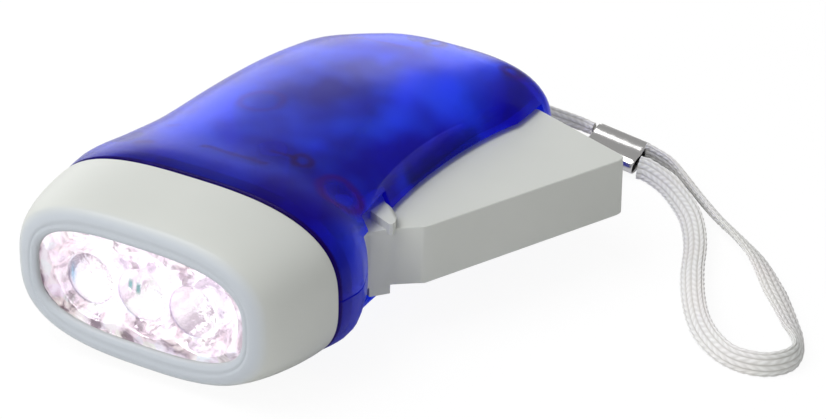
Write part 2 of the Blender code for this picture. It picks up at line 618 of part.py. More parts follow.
def build_head():
    """Bezel, lens, reflector, lamps and their board."""
    back = SEAM_Y - GAP / 2
    rings = [bezel_ring(LIP_Y + LIP_ROUND * (1 - math.sin(turn)), LIP_ROUND * (1 - math.cos(turn)))
             for turn in (math.radians(90), math.radians(60), math.radians(30), 0.0)]
    rings += [bezel_ring(LIP_Y + LIP_ROUND + (back - LIP_Y - LIP_ROUND) * share, 0.0)
              for share in (0.12, 0.28, 0.46, 0.64, 0.82, 0.97)]
    rings.append(bezel_ring(back, 0.35))
    bezel = loft("head_bezel", rings, BEZEL_GREY)
    pocket_back = LENS_BACK + 1.2
    hollow = [bezel_ring(y, BEZEL_WALL) for y in (pocket_back, LIP_Y + 8.0, LIP_Y + 12.0, SEAM_Y + 1.0)]
    cut(bezel, loft("bezel_hollow", hollow, cutter=True))
    cut(bezel, loft("lens_pocket", [window_ring(y, LENS_REST + GAP) for y in (LIP_Y + LIP_DEPTH, pocket_back + 1.0)],
                    cutter=True))
    cut(bezel, loft("window_hole", [window_ring(LIP_Y - 1.0, 1.0), window_ring(LIP_Y + 0.25, 0.45),
                                    window_ring(LIP_Y + 0.75, 0.0), window_ring(LIP_Y + LIP_DEPTH + 0.5, 0.0)],
                    cutter=True))
    loft("lens_window", [window_ring(LENS_FRONT, LENS_REST - 0.3), window_ring(LENS_FRONT + 0.3, LENS_REST),
                         window_ring(LENS_BACK, LENS_REST)], LENS_CLEAR)
    tray = loft("reflector_tray", [window_ring(TRAY_FRONT, LENS_REST), window_ring(TRAY_FRONT + 1.2, LENS_REST),
                                   window_ring(TRAY_FRONT + 1.3, LENS_REST - 1.0),
                                   window_ring(TRAY_BACK, LENS_REST - 1.8)], CHROME)
    for k, x in enumerate((-LED_PITCH, 0.0, LED_PITCH)):
        cup = [(0.0, 1.0), (CUP_FRONT * 1.02, 1.0), (CUP_FRONT, 0.0), (CUP_FRONT * 0.93, -1.4),
               (CUP_FRONT * 0.8, -2.9), (CUP_REAR, -REFLECTOR_DEPTH + 1.0), (CUP_REAR, -REFLECTOR_DEPTH - 1.0),
               (0.0, -REFLECTOR_DEPTH - 1.0)]
        cut(tray, turned(f"cup_{k}", cup, (x, TRAY_FRONT, LED_Z), cutter=True, axis="-Y", steps=20))
        straight = LED_LENGTH - LED_RADIUS
        dome = [(LED_RADIUS * math.sin(math.radians(a)), straight + LED_RADIUS * math.cos(math.radians(a)))
                for a in (0, 18, 36, 54, 72, 90)]
        lamp = dome + [(LED_RADIUS, 0.8), (LED_RADIUS + 0.15, 0.8), (LED_RADIUS + 0.15, 0.0), (0.0, 0.0)]
        turned(f"led_{k + 1}", lamp, (x, LED_BACK, LED_Z), LENS_CLEAR, axis="-Y", steps=16)
    board = loft("led_board", [window_ring(BOARD_FRONT, -0.4), window_ring(BOARD_FRONT + BOARD_THICK, -0.4)], BOARD_GREEN)
    return bezel, tray, board


def to_world(points):
    """Lever outline points from its own u, v to the plan, in the folded position."""
    return [(PIVOT_X + u, PIVOT_Y + v) for u, v in points]


def build_lever():
    """Hollow squeeze lever with its hub, stop ribs and the toothed arc that drives the train."""
    r = LEVER_ROUND
    outline = [(LEVER_GRIP_U, 11.1)]
    outline += arc((LEVER_GRIP_U - r, LEVER_END_V - r), r, 0.0, 88.0, 4)
    outline += arc((LEVER_INNER_U + r, LEVER_END_V - 2.6), r, 95.0, 175.0, 4)
    outline += arc((0.0, 0.0), LEVER_HUB, 168.0, 385.0, 16)
    outline += [(5.4, 6.8), (7.3, 10.2)]
    lever = plate("lever", to_world(outline), LEVER_LOW, LEVER_HIGH, BEZEL_GREY)
    soften(lever, 0.45, 1)
    w = LEVER_WALL
    pocket = [(LEVER_GRIP_U - w, 12.5), (LEVER_GRIP_U - w, LEVER_END_V - w), (LEVER_INNER_U - 6.0, LEVER_END_V - w),
              (LEVER_INNER_U - 6.0, 26.0), (-4.2, 12.5)]
    cut(lever, plate("lever_pocket", to_world(pocket), LEVER_LOW + w, LEVER_HIGH - w, cutter=True))
    inner = RACK_RADIUS - RACK_WIDTH
    first = RACK_ANGLE + LEVER_OPEN
    pitch = 360.0 / RACK_TEETH
    before, after = int(LEVER_OPEN / pitch) + 2, 1
    teeth = []
    for k in range(-before, after + 1):
        for angle, radius in tooth(RACK_MODULE, RACK_TEETH, math.radians(90.0 + first + k * pitch), 2):
            teeth.append((radius * math.cos(angle), radius * math.sin(angle)))
    root = RACK_RADIUS - DEDENDUM * RACK_MODULE
    end_angle = 90.0 + first + (after + 0.7) * pitch
    rim = arc((0.0, 0.0), root, 88.0, 90.0 + first - (before + 0.7) * pitch, 5)
    band = rim + teeth + [polar(end_angle, root), polar(end_angle, inner)]
    band += arc((0.0, 0.0), inner, end_angle - 4.0, 88.0, 12)
    join(lever, plate("lever_rack", to_world(band), RACK_LOW, RACK_HIGH))
    for name, low, high in (("rib_top", LEVER_HIGH - 0.6, LEVER_HIGH + RIB_RISE),
                            ("rib_bottom", LEVER_LOW - RIB_RISE, LEVER_LOW + 0.6)):
        wedge = [polar(48.0, RIB_NEAR), polar(33.0, RIB_NEAR + 1.0), polar(50.0, RIB_REACH), polar(56.0, RIB_REACH)]
        join(lever, plate(name, to_world(wedge), low, high))
    cut(lever, rod("hub_bore", PIVOT, PIN + RUN, 0.0, 30.0, cutter=True),
        rod("spring_pocket", PIVOT, SPRING_RADIUS + WIRE + RUN, SPRING_LOW - WIRE, 30.0, cutter=True),
        rod("spring_foot_hole", polar(SPRING_ANGLE + LEVER_OPEN, SPRING_RADIUS, PIVOT), WIRE,
            SPRING_LOW - 3.0, SPRING_LOW, cutter=True, sides=12))
    notch_x = LOCK_X
    cut(lever, box("lock_notch", (notch_x - 1.5, LOCK_Y - LOCK_TRAVEL - 0.6, LEVER_LOW - 1.0),
                   (notch_x + 1.5, LOCK_Y + 9.0, LEVER_LOW + w + 0.1), cutter=True))
    pivot = hinge("lever_axis", PIVOT)
    tools = [step.object for step in lever.modifiers if step.type == "BOOLEAN"]
    carry(pivot, lever, *tools)
    pivot.rotation_euler.z = -math.radians(LEVER_OPEN)
    rod("lever_pin", PIVOT, PIN, PIN_LOW, PIN_HIGH, STEEL)
    steps = 9 * SPRING_TURNS
    coil = [(*polar(SPRING_ANGLE + 360.0 * SPRING_TURNS * k / steps, SPRING_RADIUS, PIVOT),
             SPRING_LOW + (SPRING_HIGH - SPRING_LOW) * k / steps) for k in range(steps + 1)]
    foot, top = (coil[0][0], coil[0][1], SPRING_LOW - 2.2), (coil[-1][0], coil[-1][1], LEVER_HIGH + 1.8)
    tube("return_spring", [foot] + coil + [top], WIRE, STEEL, resolution=1)


def bored_gear(name, outline, centre, low, high, look=GEAR_WHITE):
    """A gear wheel with its shaft bore."""
    wheel = plate(name, outline, low, high, look)
    cut(wheel, rod(f"{name}_bore", centre, SHAFT + RUN, low - 30.0, high + 30.0, cutter=True, sides=16))
    return wheel


def compound(name, centre, low_outline, low_span, high_outline, high_span):
    """Two wheels moulded in one piece on a common hub."""
    wheel = plate(name, low_outline, *low_span, GEAR_WHITE)
    join(wheel, plate(f"{name}_upper", high_outline, *high_span))
    hub_low, hub_high = min(low_span[0], high_span[0]) - 0.4, max(low_span[1], high_span[1]) + 0.4
    join(wheel, rod(f"{name}_hub", centre, SHAFT + 0.9, hub_low, hub_high))
    cut(wheel, rod(f"{name}_bore", centre, SHAFT + RUN, hub_low - 5.0, hub_high + 5.0, cutter=True, sides=16))
    axis = hinge(f"{name}_axis", centre)
    carry(axis, wheel)
    return wheel


def lighten(wheel, centre, pitch_radius, low, high, count=4):
    """Round openings in a wheel's web."""
    inner, outer = SHAFT + 2.6, pitch_radius - 1.6
    radius = (outer - inner) / 2 * 0.82
    for k in range(count):
        place = polar(360.0 * k / count + 12.0, (inner + outer) / 2, centre)
        cut(wheel, rod(f"{wheel.name}_eye_{k}", place, radius, low - 0.2, high + 0.2, cutter=True, sides=12))


def build_train():
    """Drive gear, idler gear, magnet rotor, their shafts and the cover that holds them."""
    drive = compound("drive_gear", GEAR_1, gear_outline(RACK_MODULE, PINION_TEETH, PHASE_1, GEAR_1),
                     (PINION_LOW, FIRST_LOW + 0.2), gear_outline(GEAR_MODULE, FIRST_TEETH, PHASE_1, GEAR_1),
                     (FIRST_LOW, FIRST_HIGH))
    idler = compound("idler_gear", GEAR_2, gear_outline(GEAR_MODULE, PINION_TEETH, PHASE_2, GEAR_2),
                     (FIRST_LOW - 0.2, SECOND_LOW + 0.2), gear_outline(GEAR_MODULE, SECOND_TEETH, PHASE_2, GEAR_2),
                     (SECOND_LOW, SECOND_HIGH))
    lighten(idler, GEAR_2, GEAR_MODULE * SECOND_TEETH / 2, SECOND_LOW, SECOND_HIGH)
    rotor = plate("rotor_gear", gear_outline(GEAR_MODULE, PINION_TEETH, PHASE_3, GEAR_3), SECOND_LOW - 0.2,
                  SECOND_HIGH + 0.2, GEAR_WHITE)
    join(rotor, rod("rotor_hub", GEAR_3, 2.4, MAGNET_LOW - 0.4, SECOND_LOW))
    cut(rotor, rod("rotor_bore", GEAR_3, SHAFT + RUN, 0.0, 30.0, cutter=True, sides=16))
    magnet = rod("magnet_rotor", GEAR_3, MAGNET_RADIUS, MAGNET_LOW, MAGNET_HIGH, MAGNET_GREY, sides=32)
    soften(magnet, 0.4, 1)
    cut(magnet, rod("magnet_bore", GEAR_3, 2.4 + RUN, 0.0, 30.0, cutter=True))
    carry(hinge("rotor_axis", GEAR_3), rotor, magnet)
    for name, centre in (("drive_shaft", GEAR_1), ("idler_shaft", GEAR_2), ("rotor_shaft", GEAR_3)):
        rod(name, centre, SHAFT, FLOOR_Z + 0.2, COVER_HIGH - 0.5, STEEL)
    outline = arc(POSTS[0], 2.8, 60.0, 180.0, 5) + arc((GEAR_2[0] - 5.0, GEAR_2[1] - 4.0), 3.0, 180.0, 230.0, 3)
    outline += arc(GEAR_3, 4.4, 190.0, 285.0, 5) + arc(POSTS[1], 3.2, -90.0, 20.0, 5)
    outline += arc(POSTS[2], 3.2, 0.0, 90.0, 4)
    cover = plate("gear_cover", outline, COVER_LOW, COVER_HIGH, BLACK_PLASTIC)
    for k, centre in enumerate((GEAR_1, GEAR_2, GEAR_3)):
        cut(cover, rod(f"cover_eye_{k}", centre, SHAFT + RUN, 0.0, 40.0, cutter=True, sides=12))
    for k, (x, y) in enumerate(POSTS):
        cut(cover, rod(f"cover_screw_way_{k}", (x, y), 0.8 + RUN, 0.0, 40.0, cutter=True, sides=12))
        head = [(0.0, 1.0), (1.2, 1.0), (1.6, 0.6), (1.6, 0.0), (0.8, 0.0), (0.8, -6.5), (0.0, -7.0)]
        turned(f"cover_screw_{k + 1}", head, (x, y, COVER_HIGH + GAP), STEEL, steps=16)


def build_generator():
    """Iron stator with two pole shoes round the magnet, and its coil."""
    reach = MAGNET_RADIUS + POLE_GAP
    outer = reach + POLE_THICK
    x, y = GEAR_3
    limb, bar = POLE_THICK, 3.2
    right = arc(GEAR_3, outer, 40.0, -22.0, 8) + [(x + outer, y - 6.0), (x + outer, YOKE_Y - bar / 2)]
    left = [(x - outer, YOKE_Y - bar / 2), (x - outer, y - 6.0)] + arc(GEAR_3, outer, 202.0, 140.0, 8)
    left_in = arc(GEAR_3, reach, 140.0, 212.0, 8) + [(x - outer + limb, y - 7.0), (x - outer + limb, YOKE_Y + bar / 2)]
    right_in = [(x + outer - limb, YOKE_Y + bar / 2), (x + outer - limb, y - 7.0)] + arc(GEAR_3, reach, -32.0, 40.0, 8)
    plate("stator_core", right + left + left_in + right_in, STATOR_LOW, STATOR_HIGH, STEEL)
    middle_z = (STATOR_LOW + STATOR_HIGH) / 2
    flange, core = COIL_RADIUS, COIL_RADIUS - 1.3
    half = COIL_LENGTH / 2
    bobbin = rod("coil_bobbin", (YOKE_Y, middle_z), core, x - half, x + half, BLACK_PLASTIC, axis="X", sides=16)
    join(bobbin, rod("flange_left", (YOKE_Y, middle_z), flange, x - half, x - half + 0.9, axis="X", sides=16),
         rod("flange_right", (YOKE_Y, middle_z), flange, x + half - 0.9, x + half, axis="X", sides=16))
    cut(bobbin, box("yoke_way", (x - 20.0, YOKE_Y - bar / 2 - RUN, STATOR_LOW - RUN),
                    (x + 20.0, YOKE_Y + bar / 2 + RUN, STATOR_HIGH + RUN), cutter=True))
    wound = rod("coil_winding", (YOKE_Y, middle_z), flange - 0.35, x - half + 0.9 + GAP, x + half - 0.9 - GAP, COPPER,
                axis="X", sides=16)
    cut(wound, rod("winding_bore", (YOKE_Y, middle_z), core + RUN, x - 20.0, x + 20.0, cutter=True, axis="X", sides=16))


def build_electrics():
    """Cell, circuit board and switch."""
    x, y, z = CELL_X, CELL_Y, CELL_Z
    half = CELL_LENGTH / 2
    profile = [(0.0, half + 0.8), (1.6, half + 0.8), (1.6, half), (CELL_RADIUS - 0.6, half), (CELL_RADIUS, half - 0.6),
               (CELL_RADIUS, -half + 0.6), (CELL_RADIUS - 0.6, -half), (0.0, -half)]
    turned("storage_cell", profile, (x, y, z), CELL_SLEEVE, axis="X", steps=28)
    board = box("circuit_board", (-15.0, SEAM_Y - 1.6, CIRCUIT_Z), (1.6, SEAM_Y + 10.4, CIRCUIT_Z + BOARD_THICK),
                BOARD_GREEN)
    back = CIRCUIT_Z - GAP
    box("rectifier", (-6.0, SEAM_Y + 1.0, back - 2.4), (0.0, SEAM_Y + 7.0, back), BLACK_PLASTIC)
    inner = SWITCH_X + WALL
    box("switch_body", (inner + 2.2, SWITCH_Y - 4.0, PART_Z - 3.0), (inner + 6.0, SWITCH_Y + 6.0, PART_Z + 3.0),
        BLACK_PLASTIC)
    slider = box("switch_slider", (inner + 0.5, SWITCH_Y - 4.6, PART_Z - 3.6), (inner + 1.7, SWITCH_Y + 3.4, PART_Z + 3.6),
                 BEZEL_GREY)
    join(slider, box("switch_thumb", (SWITCH_X - 1.6, SWITCH_Y - 2.0, PART_Z - 2.0),
                     (inner + 0.8, SWITCH_Y + 2.0, PART_Z + 2.0)))
    for k in range(3):
        groove_y = SWITCH_Y - 1.2 + 1.2 * k
        cut(slider, box(f"thumb_groove_{k}", (SWITCH_X - 3.0, groove_y - 0.25, PART_Z - 4.0),
                        (SWITCH_X - 1.2, groove_y + 0.25, PART_Z + 4.0), cutter=True))
    return board


def build_lock():
    """Slide under the belly that holds the lever folded."""
    plate_low = FLOOR_Z + 1.9
    lock = box("lever_lock", (LOCK_X - 3.0, LOCK_Y - 4.6, plate_low), (LOCK_X + 3.0, LOCK_Y + 4.0, plate_low + 1.4),
               BEZEL_GREY)
    join(lock, box("lock_thumb", (LOCK_X - 1.9, LOCK_Y - 2.0, 0.5), (LOCK_X + 1.9, LOCK_Y + 2.0, plate_low + 0.2)),
         box("lock_hook", (LOCK_X - 1.1, LOCK_Y + 2.4, plate_low + 1.0), (LOCK_X + 1.1, LOCK_Y + 4.0, LEVER_LOW + 1.3)))
    for k in range(3):
        groove_y = LOCK_Y - 1.2 + 1.2 * k
        cut(lock, box(f"lock_groove_{k}", (LOCK_X - 3.0, groove_y - 0.25, 0.0), (LOCK_X + 3.0, groove_y + 0.25, 0.9),
                      cutter=True))


def build_fasteners():
    """Shell screws and the strap's anchor pin."""
    head_low = 8.0 - 0.3 - 1.6
    for k, (x, y) in enumerate(SCREWS):
        profile = [(0.0, PART_Z + 5.8), (SCREW_SHANK, PART_Z + 4.6), (SCREW_SHANK, head_low + 1.6),
                   (SCREW_HEAD, head_low + 1.6), (SCREW_HEAD, head_low + 0.5), (SCREW_HEAD - 0.5, head_low),
                   (0.0, head_low)]
        turned(f"shell_screw_{k + 1}", profile, (x, y, 0.0), STEEL, steps=16)
    rod("strap_pin", (ANCHOR_X, ANCHOR_Y), ANCHOR_RADIUS, 8.9, 20.3, STEEL, sides=16)


def spline_points(route, spacing):
    """Evenly spaced points on a smooth curve through a route's own points."""
    route = [np.array(point, float) for point in route]
    ends = [2 * route[0] - route[1]] + route + [2 * route[-1] - route[-2]]
    fine = []
    for a, b, c, d in zip(ends, ends[1:], ends[2:], ends[3:]):
        for t in np.linspace(0.0, 1.0, 24, endpoint=False):
            fine.append(0.5 * (2 * b + (c - a) * t + (2 * a - 5 * b + 4 * c - d) * t**2
                               + (3 * b - a - 3 * c + d) * t**3))
    fine.append(route[-1])
    fine = np.array(fine)
    length = np.concatenate([[0.0], np.cumsum(np.linalg.norm(np.diff(fine, axis=0), axis=1))])
    count = max(int(round(length[-1] / spacing)), 4)
    at = np.linspace(0.0, length[-1], count + 1)
    return [tuple(np.interp(at, length, fine[:, axis])[k] for axis in range(3)) for k in range(count + 1)]


# Wrist strap routes, chosen by hand from where the strap lies
TETHER_ROUTE = ((21.6, 60.9, 5.3), (19.4, 59.4, 6.4), (16.6, 55.8, 8.8), (13.6, 51.2, 12.2), (11.2, 47.2, 14.2),
                (10.1, 44.4, 14.65), (9.6, 43.0, 14.65), (10.95, 41.0, 14.65), (8.6, 38.65, 14.65),
                (6.25, 41.0, 14.65), (7.6, 43.2, 14.65), (8.2, 45.2, 14.6), (10.0, 47.8, 13.4), (13.4, 50.8, 10.2),
                (17.4, 53.9, 6.8), (20.0, 56.2, 4.6), (22.2, 57.1, 3.85))
LOOP_ROUTE = ((36.2, 60.75, 3.4), (40.4, 59.4, 3.0), (45.4, 55.8, 2.4), (49.8, 52.2, 2.1), (55.6, 47.4, 2.0),
              (61.4, 43.3, 2.0), (67.0, 38.7, 2.0), (73.2, 31.7, 2.0), (80.0, 23.5, 2.0), (84.9, 17.0, 2.0),
              (85.9, 12.6, 2.0), (83.4, 8.9, 2.0), (78.8, 7.9, 2.0), (74.3, 9.6, 2.0), (69.2, 13.9, 2.0),
              (64.5, 20.4, 2.0), (60.1, 28.3, 2.0), (55.8, 37.7, 2.0), (51.0, 45.4, 2.0), (45.8, 50.9, 2.0),
              (41.2, 54.6, 2.0), (36.6, 56.9, 2.1))


def build_strap():
    """Wrist strap: a thin string on the anchor pin, a crimped ferrule and the hand loop."""
    low, high, step = Vector(FERRULE_LOW), Vector(FERRULE_HIGH), Vector(FERRULE_STEP)
    along = (high - low).normalized()
    near = [low + step - along * GAP, low - along * GAP]
    tube("strap_tether", near[:1] + spline_points(TETHER_ROUTE, STRING * 1.5) + near[1:], STRING, STRAP_WHITE)
    turn = along.to_track_quat("Z", "Y").to_matrix().to_4x4()
    barrels = []
    for name, rise in (("strap_ferrule", Vector()), ("ferrule_upper", step)):
        bm = bmesh.new()
        bmesh.ops.create_cone(bm, cap_ends=True, segments=20, radius1=FERRULE, radius2=FERRULE,
                              depth=(high - low).length,
                              matrix=Matrix.Translation((low + high) / 2 + rise) @ turn)
        barrels.append(from_bmesh(name, bm, CHROME))
    side = (step - along * step.dot(along)).normalized()
    turned_to = Matrix((side, along.cross(side), along)).transposed().to_4x4()
    bm = bmesh.new()
    bmesh.ops.create_cube(bm, size=1.0, matrix=Matrix.Translation((low + high + step) / 2) @ turned_to
                          @ Matrix.Diagonal((step.length, FERRULE * 0.8, (high - low).length - 2 * GAP, 1.0)))
    join(barrels[0], barrels[1], from_bmesh("ferrule_waist", bm, CHROME))
    far = [high + step + along * GAP, high + along * GAP]
    tube("strap_loop", far[:1] + spline_points(LOOP_ROUTE, BRAID * 2) + far[1:], BRAID, STRAP_WHITE)


build_shells()
build_head()
build_lever()
build_train()
build_generator()
build_electrics()
build_lock()
build_fasteners()
build_strap()
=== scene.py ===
"""A hand-press dynamo torch on a pale studio floor.

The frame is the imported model's: the beam leaves along -Y, the lever opens towards +X, the belly is at
Z = 0 and everything is in metres. Sizes below are written in millimetres and turned with MM.
"""

import json
import math

import bmesh
import bpy
import numpy as np
from mathutils import Matrix, Vector

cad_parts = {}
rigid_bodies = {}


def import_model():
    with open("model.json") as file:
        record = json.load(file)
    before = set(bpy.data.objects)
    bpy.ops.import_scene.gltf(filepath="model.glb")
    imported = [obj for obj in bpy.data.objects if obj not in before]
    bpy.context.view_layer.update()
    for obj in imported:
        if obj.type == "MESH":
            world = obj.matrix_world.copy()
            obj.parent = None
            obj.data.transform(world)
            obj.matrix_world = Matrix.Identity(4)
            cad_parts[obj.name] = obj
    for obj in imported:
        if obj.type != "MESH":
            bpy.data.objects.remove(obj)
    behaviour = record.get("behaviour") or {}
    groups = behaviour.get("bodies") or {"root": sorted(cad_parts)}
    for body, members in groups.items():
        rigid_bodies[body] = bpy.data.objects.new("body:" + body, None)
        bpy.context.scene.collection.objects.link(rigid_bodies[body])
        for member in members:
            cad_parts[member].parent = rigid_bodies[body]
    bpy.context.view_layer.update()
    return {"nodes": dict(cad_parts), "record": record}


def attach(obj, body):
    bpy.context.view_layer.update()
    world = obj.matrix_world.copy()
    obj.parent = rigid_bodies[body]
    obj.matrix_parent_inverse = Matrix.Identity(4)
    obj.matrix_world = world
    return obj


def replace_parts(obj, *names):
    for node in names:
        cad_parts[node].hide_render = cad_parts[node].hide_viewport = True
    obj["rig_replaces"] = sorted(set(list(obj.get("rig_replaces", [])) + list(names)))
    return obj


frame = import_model()
cad = frame["nodes"]
MM = 0.001


# ---- Camera ----
# A long lens half a metre off, on the lever's side of the torch and looking down at it, with half a
# degree of roll. The frame is 826 by 419, and nothing is shifted or blurred.
CAMERA_AT, FOCAL = (268.12, -401.93, 272.74), 143.63
azimuth, elevation, roll = (math.radians(angle) for angle in (31.38, 28.55, 0.48))
toward = Vector((math.sin(azimuth) * math.cos(elevation), -math.cos(azimuth) * math.cos(elevation),
                 math.sin(elevation)))
level = Vector((math.cos(azimuth), math.sin(azimuth), 0.0))
upright = toward.cross(level)
across = level * math.cos(roll) + upright * math.sin(roll)
upright = upright * math.cos(roll) - level * math.sin(roll)
lens = bpy.data.cameras.new("long_lens")
lens.sensor_width = 36.0
lens.lens = FOCAL
lens.clip_start, lens.clip_end = 0.02, 20.0
camera = bpy.data.objects.new("studio_camera", lens)
bpy.context.scene.collection.objects.link(camera)
camera.matrix_world = Matrix.Translation(Vector(CAMERA_AT) * MM) @ Matrix(
    (across, upright, toward)).transposed().to_4x4()
bpy.context.scene.camera = camera


# ---- Studio ----
# A white sweep under the torch, a broad soft lamp overhead, one low panel behind on the left whose
# reflection runs down the shell, and a weak fill near the camera.
def connect(tree, *pairs):
    """Link each (output, input) pair of sockets."""
    for source, target in pairs:
        tree.links.new(source, target)


def new_node(tree, kind, **settings):
    """A shader node with its settings, and its inputs by name or number."""
    made = tree.nodes.new(kind)
    values = settings.pop("values", {})
    for key, value in settings.items():
        setattr(made, key, value)
    for key, value in values.items():
        made.inputs[key].default_value = value
    return made


world = bpy.data.worlds.new("studio_world")
bpy.context.scene.world = world
world.use_nodes = True
sky = world.node_tree
sky.nodes.clear()
rays = new_node(sky, "ShaderNodeLightPath")
soft = new_node(sky, "ShaderNodeBackground", values={"Color": (1.0, 1.0, 1.0, 1.0), "Strength": 0.36})
paper = new_node(sky, "ShaderNodeBackground", values={"Color": (1.0, 1.0, 1.0, 1.0), "Strength": 1.0})
seen = new_node(sky, "ShaderNodeMath", operation="MAXIMUM")
pick = new_node(sky, "ShaderNodeMixShader")
sky_out = new_node(sky, "ShaderNodeOutputWorld")
connect(sky, (rays.outputs["Is Camera Ray"], seen.inputs[0]),
        (rays.outputs["Is Transmission Ray"], seen.inputs[1]),
        (seen.outputs[0], pick.inputs[0]), (soft.outputs[0], pick.inputs[1]),
        (paper.outputs[0], pick.inputs[2]),
        (pick.outputs[0], sky_out.inputs["Surface"]))

ground = bpy.data.meshes.new("sweep")
ground.from_pydata([(-3.0, -3.0, 0.0), (3.0, -3.0, 0.0), (3.0, 3.0, 0.0), (-3.0, 3.0, 0.0)], [],
                   [(0, 1, 2, 3)])
floor = bpy.data.objects.new("floor", ground)
bpy.context.scene.collection.objects.link(floor)
white = bpy.data.materials.new("white_sweep")
white.use_nodes = True
tree = white.node_tree
tree.nodes.clear()
matt = new_node(tree, "ShaderNodeBsdfDiffuse", values={"Color": (0.86, 0.86, 0.86, 1.0)})
lit = new_node(tree, "ShaderNodeEmission", values={"Color": (1.0, 1.0, 1.0, 1.0), "Strength": 1.03})
rays = new_node(tree, "ShaderNodeLightPath")
share = new_node(tree, "ShaderNodeMath", operation="MULTIPLY", values={1: 0.9})
both = new_node(tree, "ShaderNodeMixShader")
out = new_node(tree, "ShaderNodeOutputMaterial")
connect(tree, (rays.outputs["Is Camera Ray"], share.inputs[0]), (share.outputs[0], both.inputs[0]),
        (matt.outputs[0], both.inputs[1]), (lit.outputs[0], both.inputs[2]),
        (both.outputs[0], out.inputs["Surface"]))
ground.materials.append(white)


def soft_panel(name, place, aim, width, height, watts):
    """A flat area lamp at a place in metres, facing a point."""
    panel = bpy.data.lights.new(name, "AREA")
    panel.shape = "RECTANGLE"
    panel.size, panel.size_y = width, height
    panel.energy = watts
    lamp = bpy.data.objects.new(name, panel)
    lamp.location = place
    lamp.rotation_euler = (Vector(aim) - Vector(place)).to_track_quat("-Z", "Y").to_euler()
    bpy.context.scene.collection.objects.link(lamp)


soft_panel("overhead", (-0.22, -0.20, 0.62), (0.0, 0.0, 0.0), 0.5, 0.5, 3.0)
soft_panel("back_panel", (-0.52, 0.50, 0.16), (0.0, 0.0, 0.02), 0.75, 0.34, 1.1)
soft_panel("front_fill", (-0.10, -0.75, 0.34), (0.0, 0.0, 0.01), 0.5, 0.4, 1.5)


# ---- Wrist strap ----
# A thin round string goes through the window in the tail, round the anchor pin and back. A crimped
# metal sleeve holds its ends and those of the flat braided hand loop, which leans now more, now less.
def flowing(route, spacing):
    """Points at an even spacing on the smooth curve through a route.

    Between points b and c, with a and d on either side, the curve at t is
    (2b + (c - a) t + (2a - 5b + 4c - d) t^2 + (3b - a - 3c + d) t^3) / 2.
    """
    route = np.array(route, float)
    ends = np.vstack([2 * route[0] - route[1], route, 2 * route[-1] - route[-2]])
    t = np.linspace(0.0, 1.0, 40, endpoint=False)[:, None]
    a, b, c, d = (ends[k:len(ends) - 3 + k, None, :] for k in range(4))
    fine = 0.5 * (2 * b + (c - a) * t + (2 * a - 5 * b + 4 * c - d) * t**2 + (3 * b - a - 3 * c + d) * t**3)
    fine = np.vstack([fine.reshape(-1, 3), route[-1]])
    length = np.concatenate([[0.0], np.cumsum(np.linalg.norm(np.diff(fine, axis=0), axis=1))])
    at = np.linspace(0.0, length[-1], int(round(length[-1] / spacing)) + 1)
    return np.stack([np.interp(at, length, fine[:, axis]) for axis in range(3)], axis=1), at


def grid_mesh(name, points, around=True, closed=False, caps=False):
    """A mesh from a grid of points, rows by columns, in metres.

    around joins the last column to the first, closed joins the last row to the first, and caps
    fills the two end rows.
    """
    rows, columns = points.shape[:2]
    index = np.arange(rows * columns).reshape(rows, columns)
    if around:
        index = np.hstack([index, index[:, :1]])
    if closed:
        index = np.vstack([index, index[:1]])
    faces = np.stack([index[:-1, :-1], index[:-1, 1:], index[1:, 1:], index[1:, :-1]], axis=-1)
    faces = faces.reshape(-1, 4).tolist()
    if caps:
        faces.append(index[0, :columns].tolist()[::-1])
        faces.append(index[-1, :columns].tolist())
    mesh = bpy.data.meshes.new(name)
    mesh.from_pydata(points.reshape(-1, 3).tolist(), [], faces)
    bm = bmesh.new()
    bm.from_mesh(mesh)
    bmesh.ops.remove_doubles(bm, verts=bm.verts, dist=1e-7)
    bmesh.ops.recalc_face_normals(bm, faces=bm.faces)
    bm.to_mesh(mesh)
    bm.free()
    mesh.shade_smooth()
    made = bpy.data.objects.new(name, mesh)
    bpy.context.scene.collection.objects.link(made)
    return made


def shade(piece, name, value):
    """Keep one value a vertex of a grid mesh as an attribute for its material."""
    kept = piece.data.attributes.new(name, "FLOAT", "POINT")
    kept.data.foreach_set("value", np.ascontiguousarray(value, np.float32).ravel())


def braid(name, path, at, width, thick, ribs, pitch, relief, lean):
    """A braid swept along a path, width and thick in mm, and its painted shade in the valleys as an
    attribute.

    At angle t round the section, the point is path + side * width/2 * cos t + top * thick/2 * sin t,
    turned by lean about the path. Ribs run along it, each a half circle wide, and slanted stitches
    cross each rib, one way on even ribs and the other way on odd ones.
    """
    columns = ribs * 6
    t = np.arange(columns) / columns * 2 * math.pi
    along = np.gradient(path, axis=0)
    along /= np.linalg.norm(along, axis=1)[:, None]
    side = np.cross(along, (0.0, 0.0, 1.0))
    side /= np.linalg.norm(side, axis=1)[:, None]
    top = np.cross(side, along)
    turned = np.radians(np.interp(at / at[-1], *lean))[:, None]
    side, top = side * np.cos(turned) + top * np.sin(turned), top * np.cos(turned) - side * np.sin(turned)
    local = (t / (2 * math.pi) * ribs) % 1.0 - 0.5
    way = np.where(np.floor(t / (2 * math.pi) * ribs) % 2 > 0, 1.0, -1.0)
    stitch = 0.5 + 0.5 * np.cos(2 * math.pi * (at[:, None] / pitch + way * local * 0.9))
    rib = np.sqrt(np.clip(1 - (2 * local) ** 2, 0.0, 1.0))
    height = 0.55 * rib + 0.45 * stitch * (1 - np.abs(2 * local) ** 3)
    grow = relief * (height - 1.0)
    a = (width / 2 + grow) * np.cos(t)
    b = (thick / 2 + grow) * np.sin(t)
    points = path[:, None, :] + side[:, None, :] * a[..., None] + top[:, None, :] * b[..., None]
    made = grid_mesh(name, points * MM, caps=True)
    shade(made, "valley", 1.0 - height)
    return made


def finish_of(name):
    """A new material, its node tree and its Principled shader."""
    made = bpy.data.materials.new(name)
    made.use_nodes = True
    tree = made.node_tree
    return made, tree, tree.nodes["Principled BSDF"]


